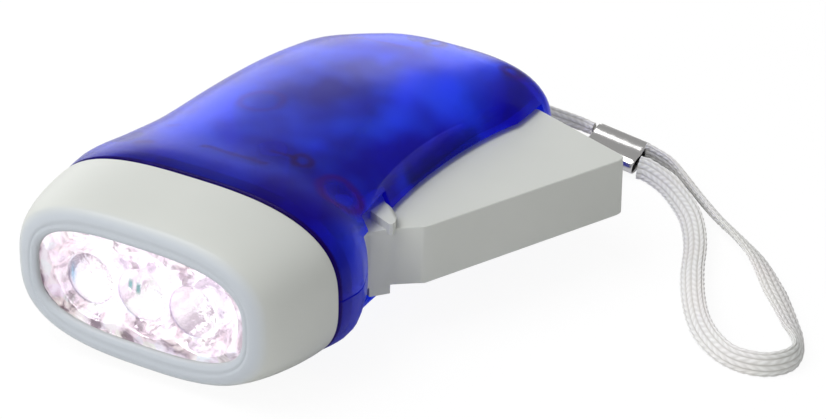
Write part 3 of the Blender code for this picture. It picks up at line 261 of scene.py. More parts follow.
def put(shader, **values):
    """Set sockets of a Principled shader by their names, with underscores for spaces."""
    for key, value in values.items():
        shader.inputs[key.replace("_", " ")].default_value = value


def mixed(tree, factor, under, over, blend="MIX"):
    """Colour socket of one colour laid over another by a factor. Each may be a socket or a plain value."""
    made = new_node(tree, "ShaderNodeMix", data_type="RGBA", blend_type=blend)
    for name, given in (("Factor", factor), ("A", under), ("B", over)):
        if isinstance(given, bpy.types.NodeSocket):
            tree.links.new(given, made.inputs[name])
        else:
            made.inputs[name].default_value = given if name == "Factor" else (*given, 1.0)
    return made.outputs["Result"]


def attribute(tree, name):
    """Value socket of an attribute that a piece carries."""
    return new_node(tree, "ShaderNodeAttribute", attribute_name=name).outputs["Fac"]


braid_white, tree, shader = finish_of("braided_polyester")
put(shader, Roughness=0.62, Sheen_Weight=0.45, Sheen_Roughness=0.4)
place = new_node(tree, "ShaderNodeTexCoord")
fibre = new_node(tree, "ShaderNodeTexNoise", values={"Scale": 2600.0, "Detail": 2.0})
soil = new_node(tree, "ShaderNodeTexNoise", values={"Scale": 90.0, "Detail": 2.0})
# Painted shade: the braid is darker in its valleys, between the ribs and the stitches.
painted_valley_shade = mixed(tree, attribute(tree, "valley"), (0.96, 0.955, 0.94), (0.62, 0.60, 0.57))
dirt = mixed(tree, 0.07, painted_valley_shade, soil.outputs["Color"], "MULTIPLY")
fluff = new_node(tree, "ShaderNodeBump", values={"Strength": 0.35, "Distance": 0.00008})
connect(tree, (place.outputs["Object"], fibre.inputs["Vector"]),
        (place.outputs["Object"], soil.inputs["Vector"]), (dirt, shader.inputs["Base Color"]),
        (fibre.outputs["Fac"], fluff.inputs["Height"]), (fluff.outputs["Normal"], shader.inputs["Normal"]))

sleeve_low, sleeve_high = np.array((24.3, 57.1, 3.6)), np.array((34.4, 57.0, 2.3))
sleeve_step = np.array((-0.5, 3.75, 1.4))
sleeve_along = (sleeve_high - sleeve_low) / np.linalg.norm(sleeve_high - sleeve_low)
string_route = [sleeve_low + sleeve_step - 0.3 * sleeve_along,
                (21.6, 60.9, 5.3), (19.4, 59.4, 6.4), (16.6, 55.8, 8.8), (13.6, 51.2, 12.2),
                (11.2, 47.2, 14.2), (10.1, 44.4, 14.65), (9.6, 43.0, 14.65), (10.95, 41.0, 14.65),
                (8.6, 38.65, 14.65), (6.25, 41.0, 14.65), (7.6, 43.2, 14.65), (8.2, 45.2, 14.6),
                (10.0, 47.8, 13.4), (13.4, 50.8, 10.2), (17.4, 53.9, 6.8), (20.0, 56.2, 4.6),
                (22.2, 57.1, 3.85), sleeve_low - 0.3 * sleeve_along]
string_path, string_at = flowing(string_route, 0.16)
string = braid("strap_string", string_path, string_at, width=2.7, thick=1.4, ribs=8, pitch=1.6, relief=0.2,
               lean=((0.0, 1.0), (90.0, 90.0)))
loop_route = [sleeve_high + sleeve_step + 0.3 * sleeve_along,
              (36.2, 60.75, 3.4), (40.4, 59.4, 3.0), (45.4, 55.8, 2.4), (49.8, 52.2, 2.1),
              (55.6, 47.4, 2.15), (61.4, 43.3, 2.15), (67.0, 38.7, 2.15), (73.2, 31.7, 2.15),
              (80.0, 23.5, 2.15), (84.9, 17.0, 2.15), (85.9, 12.6, 2.15), (83.4, 8.9, 2.15),
              (78.8, 7.9, 2.15), (74.3, 9.6, 2.15), (69.2, 13.9, 2.15), (64.5, 20.4, 2.15),
              (60.1, 28.3, 2.15), (55.8, 37.7, 2.15),
              (51.0, 45.4, 2.15), (45.8, 50.9, 2.15), (41.2, 54.6, 2.15), (36.6, 56.9, 2.2),
              sleeve_high + 0.3 * sleeve_along]
loop_path, loop_at = flowing(loop_route, 0.2)
lean = ((0.0, 0.06, 0.14, 0.24, 0.34, 0.42, 0.47, 0.55, 0.62, 0.72, 0.86, 0.95, 1.0),
        (70.0, 66.0, 62.0, 38.0, 14.0, 34.0, 78.0, 82.0, 44.0, 18.0, 24.0, 60.0, 70.0))
loop = braid("strap_hand_loop", loop_path, loop_at, width=4.3, thick=1.5, ribs=12, pitch=1.7, relief=0.24,
             lean=lean)
for piece, node in ((string, "strap_tether"), (loop, "strap_loop")):
    piece.data.materials.append(braid_white)
    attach(piece, "housing")
    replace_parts(piece, node)


# The sleeve is one strip of plated steel rolled round both ends, so its section is a figure of eight.
# It is open at both ends and 0.35 mm thick.
def sleeve_surface():
    """Closed grid of the sleeve: a Cassini oval, r^2 = a^2 cos 2t + sqrt(b^4 - a^4 sin^2 2t), carried
    along the axis on the outside, round the end and back on the inside."""
    t = np.arange(72) / 72 * 2 * math.pi
    reach, waist = 2.35, 2.72
    radius = np.sqrt(reach**2 * np.cos(2 * t) + np.sqrt(waist**4 - reach**4 * np.sin(2 * t) ** 2))
    length = np.linalg.norm(sleeve_high - sleeve_low)
    rows = [(0.0, 0.18), (0.05, 0.05), (0.18, 0.0)] + [(s, 0.0) for s in np.linspace(0.6, length - 0.6, 12)]
    rows += [(length - 0.18, 0.0), (length - 0.05, 0.05), (length, 0.18), (length, 0.34)]
    rows += [(s, 0.36) for s in np.linspace(length - 0.4, 0.4, 8)] + [(0.0, 0.34)]
    station, inset = np.array(rows).T
    side = sleeve_step - sleeve_along * sleeve_step.dot(sleeve_along)
    side /= np.linalg.norm(side)
    out = np.cross(sleeve_along, side)
    spread = radius[None, :] - inset[:, None]
    middle = (sleeve_low + sleeve_step / 2)[None, None, :] + sleeve_along * station[:, None, None]
    return middle + side * (spread * np.cos(t))[..., None] + out * (spread * 0.93 * np.sin(t))[..., None]


sleeve = grid_mesh("strap_sleeve", sleeve_surface() * MM, closed=True)
plated, tree, shader = finish_of("bright_plating")
put(shader, Base_Color=(0.80, 0.79, 0.78, 1.0), Metallic=1.0)
place = new_node(tree, "ShaderNodeTexCoord")
haze = new_node(tree, "ShaderNodeTexNoise", values={"Scale": 500.0, "Detail": 4.0})
dull = new_node(tree, "ShaderNodeMapRange", values={"To Min": 0.08, "To Max": 0.26})
rub = new_node(tree, "ShaderNodeBump", values={"Strength": 0.08, "Distance": 0.0001})
connect(tree, (place.outputs["Object"], haze.inputs["Vector"]), (haze.outputs["Fac"], dull.inputs["Value"]),
        (dull.outputs["Result"], shader.inputs["Roughness"]), (haze.outputs["Fac"], rub.inputs["Height"]),
        (rub.outputs["Normal"], shader.inputs["Normal"]))
sleeve.data.materials.append(plated)
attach(sleeve, "housing")
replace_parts(sleeve, "strap_ferrule")


# ---- Head bezel ----
# A moulded cap of light grey plastic that slides over the shells' front. Its sides swell back from a
# rounded lip, and the window opening has a soft inner edge.
PART_Z, LIP_Y, SEAM_Y = 14.65, -45.0, -29.0
LIP_HALF, LIP_RISE, SEAM_HALF, SEAM_TOP, SEAM_LOW = 22.3, 12.4, 27.5, 29.2, 0.1
WINDOW_HALF, WINDOW_RISE = 19.6, 8.85


def superellipse(turns, left, right, low, high, power):
    """Points x, z of a closed section: |x / reach|^p + |z / rise|^p = 1 about the parting plane."""
    c, s = np.cos(turns), np.sin(turns)
    middle = (left + right) / 2
    x = middle + np.where(c > 0, right - middle, middle - left) * np.sign(c) * np.abs(c) ** (2 / power)
    z = PART_Z + np.where(s > 0, high - PART_Z, PART_Z - low) * np.sign(s) * np.abs(s) ** (2 / power)
    return x, z


def even_turns(count, power=2.8):
    """Angles whose points lie about evenly round a superellipse of that power."""
    dense = np.linspace(0.0, 2 * math.pi, 4001)
    x, z = superellipse(dense, -1.6, 1.6, PART_Z - 1.0, PART_Z + 1.0, power)
    walk = np.concatenate([[0.0], np.cumsum(np.hypot(np.diff(x), np.diff(z)))])
    return np.interp(np.arange(count) / count * walk[-1], walk, dense)


def bezel_section(turns, y, inset):
    """The bezel's section at y. Its swell behind the lip is (1 - (1 - s)^1.6)^(1/1.6), s from 0 to 1."""
    s = (y - LIP_Y) / (SEAM_Y - LIP_Y)
    swell = (1 - max(1 - s, 0.0) ** 1.6) ** (1 / 1.6)
    half = LIP_HALF + (SEAM_HALF - LIP_HALF) * swell - inset
    rise = LIP_RISE + (SEAM_TOP - PART_Z - LIP_RISE) * swell - inset
    drop = LIP_RISE + (PART_Z - SEAM_LOW - LIP_RISE) * swell - inset
    x, z = superellipse(turns, -half, half, PART_Z - drop, PART_Z + rise, 2.8)
    return np.stack([x, np.full_like(x, y), z], axis=-1)


def window_section(turns, y, grow):
    """The window's section at y, grown by a margin."""
    half, rise = WINDOW_HALF + grow, WINDOW_RISE + grow
    x, z = superellipse(turns, -half, half, PART_Z - rise, PART_Z + rise, 3.0)
    return np.stack([x, np.full_like(x, y), z], axis=-1)


turns = even_turns(176)
seam_edge = SEAM_Y - 0.15
rows = [bezel_section(turns, seam_edge, 1.6), bezel_section(turns, seam_edge, 0.5)]
rows += [bezel_section(turns, seam_edge - 0.4 * (1 - math.cos(a)), 0.4 * (1 - math.sin(a)))
         for a in (0.2, 0.7, 1.2, math.pi / 2)]
rows += [bezel_section(turns, y, 0.0) for y in np.linspace(seam_edge - 1.0, LIP_Y + 1.35, 26)]
rows += [bezel_section(turns, LIP_Y + 1.3 * (1 - math.sin(a)), 1.3 * (1 - math.cos(a)))
         for a in np.linspace(0.12, math.pi / 2, 9)]
outer, inner = bezel_section(turns, LIP_Y, 1.3), window_section(turns, LIP_Y, 1.0)
rows += [outer + (inner - outer) * w + np.array((0.0, 0.10 * math.sin(math.pi * w), 0.0))
         for w in (0.2, 0.4, 0.6, 0.8, 1.0)]
rows += [window_section(turns, LIP_Y + 0.8 * (1 - math.cos(a)), 1.0 - math.sin(a))
         for a in (0.3, 0.7, 1.1, math.pi / 2)]
rows += [window_section(turns, LIP_Y + 1.08, 0.0), window_section(turns, LIP_Y + 1.12, 1.3),
         window_section(turns, LIP_Y + 2.9, 1.5), bezel_section(turns, LIP_Y + 6.0, 2.0),
         bezel_section(turns, LIP_Y + 11.0, 2.0), bezel_section(turns, seam_edge - 0.1, 2.0)]
rows = np.array(rows)
bezel = grid_mesh("bezel_cap", rows * MM, closed=True)
# Painted shade on the lip and the front face: this attribute runs from 0 behind the lip to 1 on the front.
shade(bezel, "front", np.clip((LIP_Y + 1.5 - rows[..., 1]) / 1.3, 0.0, 1.0))


def grain_group():
    """Node group: the fine spark-eroded grain of moulded plastic, and slow uneven patches.

    Grain is high noise for a bump's height, and Patches is low noise from 0 to 1 for colour or gloss.
    """
    group = bpy.data.node_groups.new("moulded_grain", "ShaderNodeTree")
    for name, way in (("Grain Scale", "INPUT"), ("Patch Scale", "INPUT"), ("Grain", "OUTPUT"),
                      ("Patches", "OUTPUT")):
        group.interface.new_socket(name, in_out=way, socket_type="NodeSocketFloat")
    enter, leave = new_node(group, "NodeGroupInput"), new_node(group, "NodeGroupOutput")
    place = new_node(group, "ShaderNodeTexCoord")
    fine = new_node(group, "ShaderNodeTexNoise", values={"Detail": 3.0, "Roughness": 0.6})
    slow = new_node(group, "ShaderNodeTexNoise", values={"Detail": 2.0})
    connect(group, (place.outputs["Object"], fine.inputs["Vector"]),
            (place.outputs["Object"], slow.inputs["Vector"]),
            (enter.outputs["Grain Scale"], fine.inputs["Scale"]),
            (enter.outputs["Patch Scale"], slow.inputs["Scale"]),
            (fine.outputs["Fac"], leave.inputs["Grain"]), (slow.outputs["Fac"], leave.inputs["Patches"]))
    return group


moulded_grain = grain_group()


def plastic(name, low, high, gloss, bump, grain=2200.0, patch=60.0):
    """A moulded plastic: its colour drifts between low and high, its gloss between two roughnesses."""
    made, tree, shader = finish_of(name)
    group = new_node(tree, "ShaderNodeGroup", node_tree=moulded_grain,
                     values={"Grain Scale": grain, "Patch Scale": patch})
    dull = new_node(tree, "ShaderNodeMapRange", values={"To Min": gloss[0], "To Max": gloss[1]})
    dents = new_node(tree, "ShaderNodeBump", values={"Strength": bump, "Distance": 0.00005})
    connect(tree, (mixed(tree, group.outputs["Patches"], low, high), shader.inputs["Base Color"]),
            (group.outputs["Patches"], dull.inputs["Value"]),
            (dull.outputs["Result"], shader.inputs["Roughness"]),
            (group.outputs["Grain"], dents.inputs["Height"]),
            (dents.outputs["Normal"], shader.inputs["Normal"]))
    return made


grey_abs = plastic("light_grey_plastic", (0.60, 0.62, 0.585), (0.66, 0.675, 0.64), (0.36, 0.46), 0.25)
bezel_grey = plastic("bezel_plastic_painted_shade", (0.60, 0.62, 0.585), (0.66, 0.675, 0.64), (0.36, 0.46), 0.25)
tree = bezel_grey.node_tree
base = tree.nodes["Principled BSDF"].inputs["Base Color"]
# Painted shade: the lip and the front face are painted a darker bluish grey.
tree.links.new(mixed(tree, attribute(tree, "front"), base.links[0].from_socket, (0.53, 0.57, 0.615)), base)
bezel.data.materials.append(bezel_grey)
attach(bezel, "housing")
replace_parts(bezel, "head_bezel")


# ---- Lens window ----
# A clear moulded plate that drops into the bezel's pocket. Three shallow round lenses stand on its front,
# one before each lamp. Their dark rims, heavier towards the lower left, and a dark patch at the window's left
# end are painted shade, and the teal and blue spots in them are painted as attributes.
LAMP_PITCH, LENS_Z, BULGE, BULGE_RISE = 9.8, 14.65, 4.45, 1.15


def plate_surface(front, back, grow):
    """Closed plate in the window's outline: rings from the middle to the edge in front, and back again.

    Each lens is the cap sqrt(C^2 - r^2) - sqrt(C^2 - R^2), where C = (R^2 + h^2) / 2h.
    """
    edge = window_section(even_turns(320, 3.0), 0.0, grow)
    middle = np.array((0.0, 0.0, PART_Z))
    share = np.concatenate([np.linspace(0.004, 0.985, 110), np.linspace(1.0, 0.02, 10)])
    grid = middle + (edge - middle)[None] * share[:, None, None]
    ball = (BULGE**2 + BULGE_RISE**2) / (2 * BULGE_RISE)
    rise = np.zeros(grid.shape[:2])
    for lamp_x in (-LAMP_PITCH, 0.0, LAMP_PITCH):
        r = np.hypot(grid[..., 0] - lamp_x, grid[..., 2] - LENS_Z)
        cap = np.sqrt(ball**2 - np.minimum(r, BULGE) ** 2)
        rise = np.maximum(rise, cap - math.sqrt(ball**2 - BULGE**2))
    grid[..., 1] = front - rise
    grid[110:, :, 1] = back
    return grid


plate_points = plate_surface(LIP_Y + 1.55, LIP_Y + 2.75, 1.15)
lens_plate = grid_mesh("clear_window", plate_points * MM, caps=True)
x, z = plate_points[..., 0], plate_points[..., 2]
in_front = plate_points[..., 1] < LIP_Y + 2.0
reach = np.min([np.hypot(x - lamp_x, z - LENS_Z) for lamp_x in (-LAMP_PITCH, 0.0, LAMP_PITCH)], axis=0)
nearest = np.round(np.clip(x / LAMP_PITCH, -1.0, 1.0)) * LAMP_PITCH
low_left = np.clip((0.75 * (nearest - x) + 0.65 * (LENS_Z - z)) / BULGE, 0.0, 1.0)
inside = np.where(reach < BULGE, (reach / BULGE) ** 3, 0.0)
rim = (0.15 + 0.85 * low_left) * (0.85 * np.exp(-((reach - BULGE) / 0.25) ** 2) + 0.55 * inside)


def spot(at_x, at_z, wide, high, power):
    """A soft spot on the window: exp(-|dx / wide|^p - |dz / high|^p)."""
    return np.exp(-(((x - at_x) / wide) ** power) - ((z - at_z) / high) ** power)


# Painted shade: dark rims round the lenses, heavier towards the lower left, and a dark patch at the window's
# left end.
shade(lens_plate, "rim", in_front * np.maximum(rim, 0.45 * spot(-15.4, 15.5, 1.7, 4.0, 2)))
shade(lens_plate, "cool", in_front * 0.85 * spot(-12.9, LENS_Z + 0.5, 0.75, 2.1, 2))
chips = np.maximum(spot(-1.5, LENS_Z + 1.9, 0.55, 0.85, 4), spot(0.1, LENS_Z + 1.7, 0.50, 1.05, 4))
shade(lens_plate, "chip", in_front * 0.95 * chips)
clear, tree, shader = finish_of("clear_acrylic")
put(shader, Roughness=0.02, IOR=1.49, Transmission_Weight=1.0)
place = new_node(tree, "ShaderNodeTexCoord")
flow = new_node(tree, "ShaderNodeTexNoise", values={"Scale": 420.0, "Detail": 3.0, "Distortion": 1.2})
ripple = new_node(tree, "ShaderNodeBump", values={"Strength": 0.30, "Distance": 0.0003})
colour = mixed(tree, flow.outputs["Fac"], (0.96, 0.93, 1.0), (1.0, 0.97, 0.98))
for name, tint in (("rim", (0.34, 0.31, 0.45)), ("cool", (0.03, 0.36, 0.62)), ("chip", (0.02, 0.26, 0.23))):
    colour = mixed(tree, attribute(tree, name), colour, tint)
connect(tree, (place.outputs["Object"], flow.inputs["Vector"]),
        (flow.outputs["Fac"], ripple.inputs["Height"]), (ripple.outputs["Normal"], shader.inputs["Normal"]),
        (colour, shader.inputs["Base Color"]))
lens_plate.data.materials.append(clear)
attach(lens_plate, "housing")
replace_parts(lens_plate, "lens_window")


# ---- Reflector ----
# A plated tray with three overlapping cups, pressed in facets. The glow of the lit lamps is painted light
# that its own material gives off, in clouds from dark to white, with each facet a little lighter or darker.
TRAY_FRONT, CUP_RADIUS, CUP_DEPTH, LAMP_Z = -41.9, 7.6, 5.4, 14.0


def tray_surface():
    """Height field over the window's outline. Each cup falls by depth * (1 - (r / R)^2)^0.8 behind the rim,
    the deepest cup wins, and 28 flutes round each cup ripple it."""
    turns = even_turns(300, 3.0)
    edge = window_section(turns, 0.0, 1.1)
    middle = np.array((0.0, 0.0, PART_Z))
    share = np.linspace(0.0, 1.0, 130) ** 0.8
    share[0] = 0.004
    grid = middle + (edge - middle)[None] * share[:, None, None]
    depth = np.zeros(grid.shape[:2])
    for lamp_x in (-LAMP_PITCH, 0.0, LAMP_PITCH):
        dx, dz = grid[..., 0] - lamp_x, grid[..., 2] - LAMP_Z
        r = np.hypot(dx, dz)
        fall = CUP_DEPTH * np.clip(1 - (r / CUP_RADIUS) ** 2, 0.0, 1.0) ** 0.8
        flute = 0.10 * np.cos(28 * np.arctan2(dz, dx)) * np.clip(r / CUP_RADIUS, 0.0, 1.0)
        step = 0.07 * np.cos(2 * math.pi * r / 1.1)
        depth = np.maximum(depth, fall + np.where(fall > 0.15, flute + step, 0.0))
    grid[..., 1] = TRAY_FRONT + np.minimum(depth, CUP_DEPTH)
    back = grid[-1:].copy()
    back[..., 1] = TRAY_FRONT + 1.0
    deep = middle + (edge - middle)[None] * np.array((0.93, 0.9, 0.01))[:, None, None]
    deep[..., 1] = np.array((1.1, 5.55, 5.55))[:, None] + TRAY_FRONT
    return np.concatenate([grid, back, deep])


tray = grid_mesh("reflector", tray_surface() * MM, caps=True)
mirror, tree, shader = finish_of("reflector_painted_glow")
put(shader, Metallic=1.0, Base_Color=(0.60, 0.56, 0.58, 1.0), Roughness=0.16, Emission_Strength=0.80)
place = new_node(tree, "ShaderNodeTexCoord")
cells = new_node(tree, "ShaderNodeTexVoronoi", values={"Scale": 480.0})
clouds = new_node(tree, "ShaderNodeTexNoise", values={"Scale": 210.0, "Detail": 3.0, "Distortion": 1.6})
ramp = new_node(tree, "ShaderNodeValToRGB")
ramp.color_ramp.elements[0].position, ramp.color_ramp.elements[0].color = 0.37, (0.16, 0.10, 0.13, 1.0)
ramp.color_ramp.elements[1].position, ramp.color_ramp.elements[1].color = 0.60, (1.0, 0.99, 1.0, 1.0)
mid = ramp.color_ramp.elements.new(0.48)
mid.color = (0.80, 0.70, 0.75, 1.0)
dents = new_node(tree, "ShaderNodeBump", values={"Strength": 0.5, "Distance": 0.0003})
# Painted light: the glow runs in clouds from dark to white, and each facet is a little lighter or darker.
painted_glow = mixed(tree, 0.14, ramp.outputs["Color"], cells.outputs["Color"], "MULTIPLY")
connect(tree, (place.outputs["Object"], cells.inputs["Vector"]),
        (place.outputs["Object"], clouds.inputs["Vector"]),
        (clouds.outputs["Fac"], ramp.inputs["Fac"]), (painted_glow, shader.inputs["Emission Color"]),
        (cells.outputs["Distance"], dents.inputs["Height"]),
        (dents.outputs["Normal"], shader.inputs["Normal"]))
tray.data.materials.append(mirror)
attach(tray, "housing")
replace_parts(tray, "reflector_tray")


# ---- Lamps ----
# Three domed lamps in clear resin, standing in the reflector's cups.
dome_resin, tree, shader = finish_of("lamp_resin")
put(shader, Roughness=0.03, IOR=1.5, Transmission_Weight=1.0, Emission_Color=(0.86, 0.9, 1.0, 1.0),
    Emission_Strength=0.12)
place = new_node(tree, "ShaderNodeTexCoord")
cloud = new_node(tree, "ShaderNodeTexNoise", values={"Scale": 420.0, "Detail": 2.0})
film = mixed(tree, cloud.outputs["Fac"], (0.84, 0.86, 1.0), (1.0, 0.93, 0.97))
connect(tree, (place.outputs["Object"], cloud.inputs["Vector"]), (film, shader.inputs["Base Color"]))
LAMP_BACK, LAMP_RADIUS, FLANGE = -35.4, 4.6, 4.75


def revolved(profile, centre, count=72):
    """Surface of revolution about an axis along -Y, from rows of (radius, distance before the back)."""
    radius, front = np.array(profile, float).T
    t = np.arange(count) / count * 2 * math.pi
    x = centre[0] + radius[:, None] * np.cos(t)
    z = centre[2] + radius[:, None] * np.sin(t)
    return np.stack([x, np.broadcast_to(centre[1] - front[:, None], x.shape), z], axis=-1)


for k, lamp_x in enumerate((-LAMP_PITCH, 0.0, LAMP_PITCH)):
    profile = [(LAMP_RADIUS * math.sin(a), 0.6 + LAMP_RADIUS * math.cos(a))
               for a in np.linspace(0.02, math.pi / 2, 30)]
    profile += [(LAMP_RADIUS, 0.7), (FLANGE, 0.68), (FLANGE, 0.02), (4.7, 0.0), (2.4, 0.0), (0.05, 0.0)]
    lamp = grid_mesh(f"lamp_dome_{k + 1}", revolved(profile, (lamp_x, LAMP_BACK, LAMP_Z)) * MM, caps=True)
    lamp.data.materials.append(dome_resin)
    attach(lamp, "housing")
    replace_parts(lamp, f"led_{k + 1}")


# ---- Shells ----
# Two halves moulded in clear blue polycarbonate, 1.8 mm thick, and screwed together from below. The rings,
# lines and clouds that show in the blue are painted marks. The blue is painted darker towards the head, in a
# line at the seam with the bezel and in a streak along the hollow by the lever: painted shade. The shell also
# gives off a weak light of its own colour, which is painted light. A long hollow by the lever is for fingers.
TAIL_Y, END_Y, TAIL_X, WALL = 38.4, 45.5, 5.8, 1.8
PLAN = ((-29.0, -27.5, 27.5), (-24.5, -28.0, 28.2), (-17.0, -26.3, 25.6), (-8.0, -24.6, 25.0),
        (6.0, -24.2, 24.7), (18.0, -23.5, 24.8), (30.0, -21.9, 27.0), (38.4, -15.1, 26.8),
        (45.5, -9.7, 23.1))
CROWN = ((-29.0, 0.1, 29.2), (-24.5, -0.3, 29.6), (-16.0, -0.4, 29.4), (0.0, -0.5, 29.4),
         (12.0, -0.5, 29.2), (25.0, -0.4, 28.3), (36.0, 0.1, 26.9), (45.5, 1.0, 24.3))


def smooth_read(y, table):
    """Columns of a table at y by cubic pieces whose slopes are the harmonic means of the chords'."""
    rows = np.array(table)
    at, value = rows[:, 0], rows[:, 1:]
    step = np.diff(at)[:, None]
    chord = np.diff(value, axis=0) / step
    slope = np.zeros_like(value)
    slope[0], slope[-1] = chord[0], chord[-1]
    near, far = 2 * step[1:] + step[:-1], step[1:] + 2 * step[:-1]
    with np.errstate(divide="ignore", invalid="ignore"):
        mean = (near + far) / (near / chord[:-1] + far / chord[1:])
    slope[1:-1] = np.where(chord[:-1] * chord[1:] > 0, mean, 0.0)
    k = int(np.clip(np.searchsorted(at, y) - 1, 0, len(step) - 1))
    t, h = (y - at[k]) / step[k], step[k]
    return ((2 * t**3 - 3 * t**2 + 1) * value[k] + (t**3 - 2 * t**2 + t) * h * slope[k]
            + (3 * t**2 - 2 * t**3) * value[k + 1] + (t**3 - t**2) * h * slope[k + 1])


def shell_section(turns, y, inset):
    """The shells' outline at y, drawn in by an inset. Behind the tail line, at share s of the way to the
    end, its width falls as (1 - s^3)^(1/3) and three quarters of its height as (1 - s^2.4)^(1/2.4)."""
    left, right = smooth_read(y, PLAN) + (inset, -inset)
    low, high = smooth_read(y, CROWN) + (inset, -inset)
    s = min(max((y - TAIL_Y + inset) / (END_Y - TAIL_Y), 0.0), 1.0)
    plan, rise = (1 - s**3) ** (1 / 3), 0.25 + 0.75 * (1 - s**2.4) ** (1 / 2.4)
    left, right = TAIL_X + (left - TAIL_X) * plan, TAIL_X + (right - TAIL_X) * plan
    low, high = PART_Z + (low - PART_Z) * rise, PART_Z + (high - PART_Z) * rise
    x, z = superellipse(turns, left, right, low, high, 2.8)
    return np.stack([x, np.full_like(x, y), z], axis=-1)


def shell_body(name, inset):
    """The housing as one closed solid: its tongue in the bezel, its sides and its rounded tail."""
    turns = even_turns(96)
    if inset:
        rows = [shell_section(turns, y, 2.3 + inset) for y in (SEAM_Y - 4.6, SEAM_Y + 1.4)]
        start = SEAM_Y + 4.0
    else:
        start = SEAM_Y + 0.6
        rows = [shell_section(turns, y, 2.3) for y in (SEAM_Y - 3.6, SEAM_Y + 0.14)]
        rows += [shell_section(turns, start - 0.45 * math.sin(a), 0.45 * (1 - math.cos(a)))
                 for a in (1.57, 1.0, 0.5)]
    rows += [shell_section(turns, y, inset) for y in np.linspace(start, TAIL_Y - inset, 40)]
    rows += [shell_section(turns, TAIL_Y - inset + (END_Y - TAIL_Y) * math.sin(a), inset)
             for a in np.linspace(0.1, 1.5, 15)]
    return grid_mesh(name, np.array(rows) * MM, caps=True)


def prism(name, outline, low, high):
    """An upright solid over a flat outline in mm."""
    return grid_mesh(name, np.array([[(x, y, z) for x, y in outline] for z in (low, high)]) * MM, caps=True)


def round_outline(centre, radius, start=0.0, end=352.5, count=48):
    """Points on an arc, angles in degrees from +X."""
    return [(centre[0] + radius * math.cos(math.radians(a)), centre[1] + radius * math.sin(math.radians(a)))
            for a in np.linspace(start, end, count)]


def block(name, low, high):
    """A box between two corners in mm."""
    corners = [(low[0], low[1]), (high[0], low[1]), (high[0], high[1]), (low[0], high[1])]
    return prism(name, corners, low[2], high[2])


def carve(piece, operation, tools):
    """Join a group of solids to a piece, or cut them out of it, and drop them."""
    group = bpy.data.collections.new(piece.name + operation)
    for tool in tools:
        group.objects.link(tool)
    step = piece.modifiers.new(operation, "BOOLEAN")
    step.operation, step.solver, step.operand_type, step.collection = operation, "EXACT", "COLLECTION", group
    made = bpy.data.meshes.new_from_object(piece.evaluated_get(bpy.context.evaluated_depsgraph_get()))
    piece.modifiers.clear()
    piece.data = made
    for tool in tools:
        bpy.data.objects.remove(tool)


def wear(piece, finish):
    """Give a piece one material in place of those it has."""
    piece.data.materials.clear()
    piece.data.materials.append(finish)


PIVOT, ANCHOR = (19.3, -16.2), (8.6, 41.0)
SCREWS = ((4.6, -13.5), (0.4, 38.6), (18.6, 40.8), (-19.2, -19.6))
COVER_POSTS, BOARD_POSTS = ((-12.0, 28.2), (6.0, -2.0), (-1.5, 30.4)), ((-12.4, -20.4), (0.0, -20.2))
GEAR_AXES = ((0.6468, 13.6513), (-11.5239, 16.9124), (-10.4780, 4.9581))
SCOOP_X, SCOOP_Y, SCOOP_RISE, SCOOP_RADIUS, SCOOP_REACH = 30.6, 6.0, 12.4, 10.0, 37.0
SLOT_LOW, SLOT_HIGH, SLOT_HUB, SLOT_REACH = 8.6, 20.7, 5.2, 53.89
RIB_ROOM_LOW, RIB_ROOM_HIGH, RIB_ROOM_REACH, RIB_ROOM_FROM, RIB_ROOM_TO = 7.4, 23.1, 9.5, -2.0, 99.0


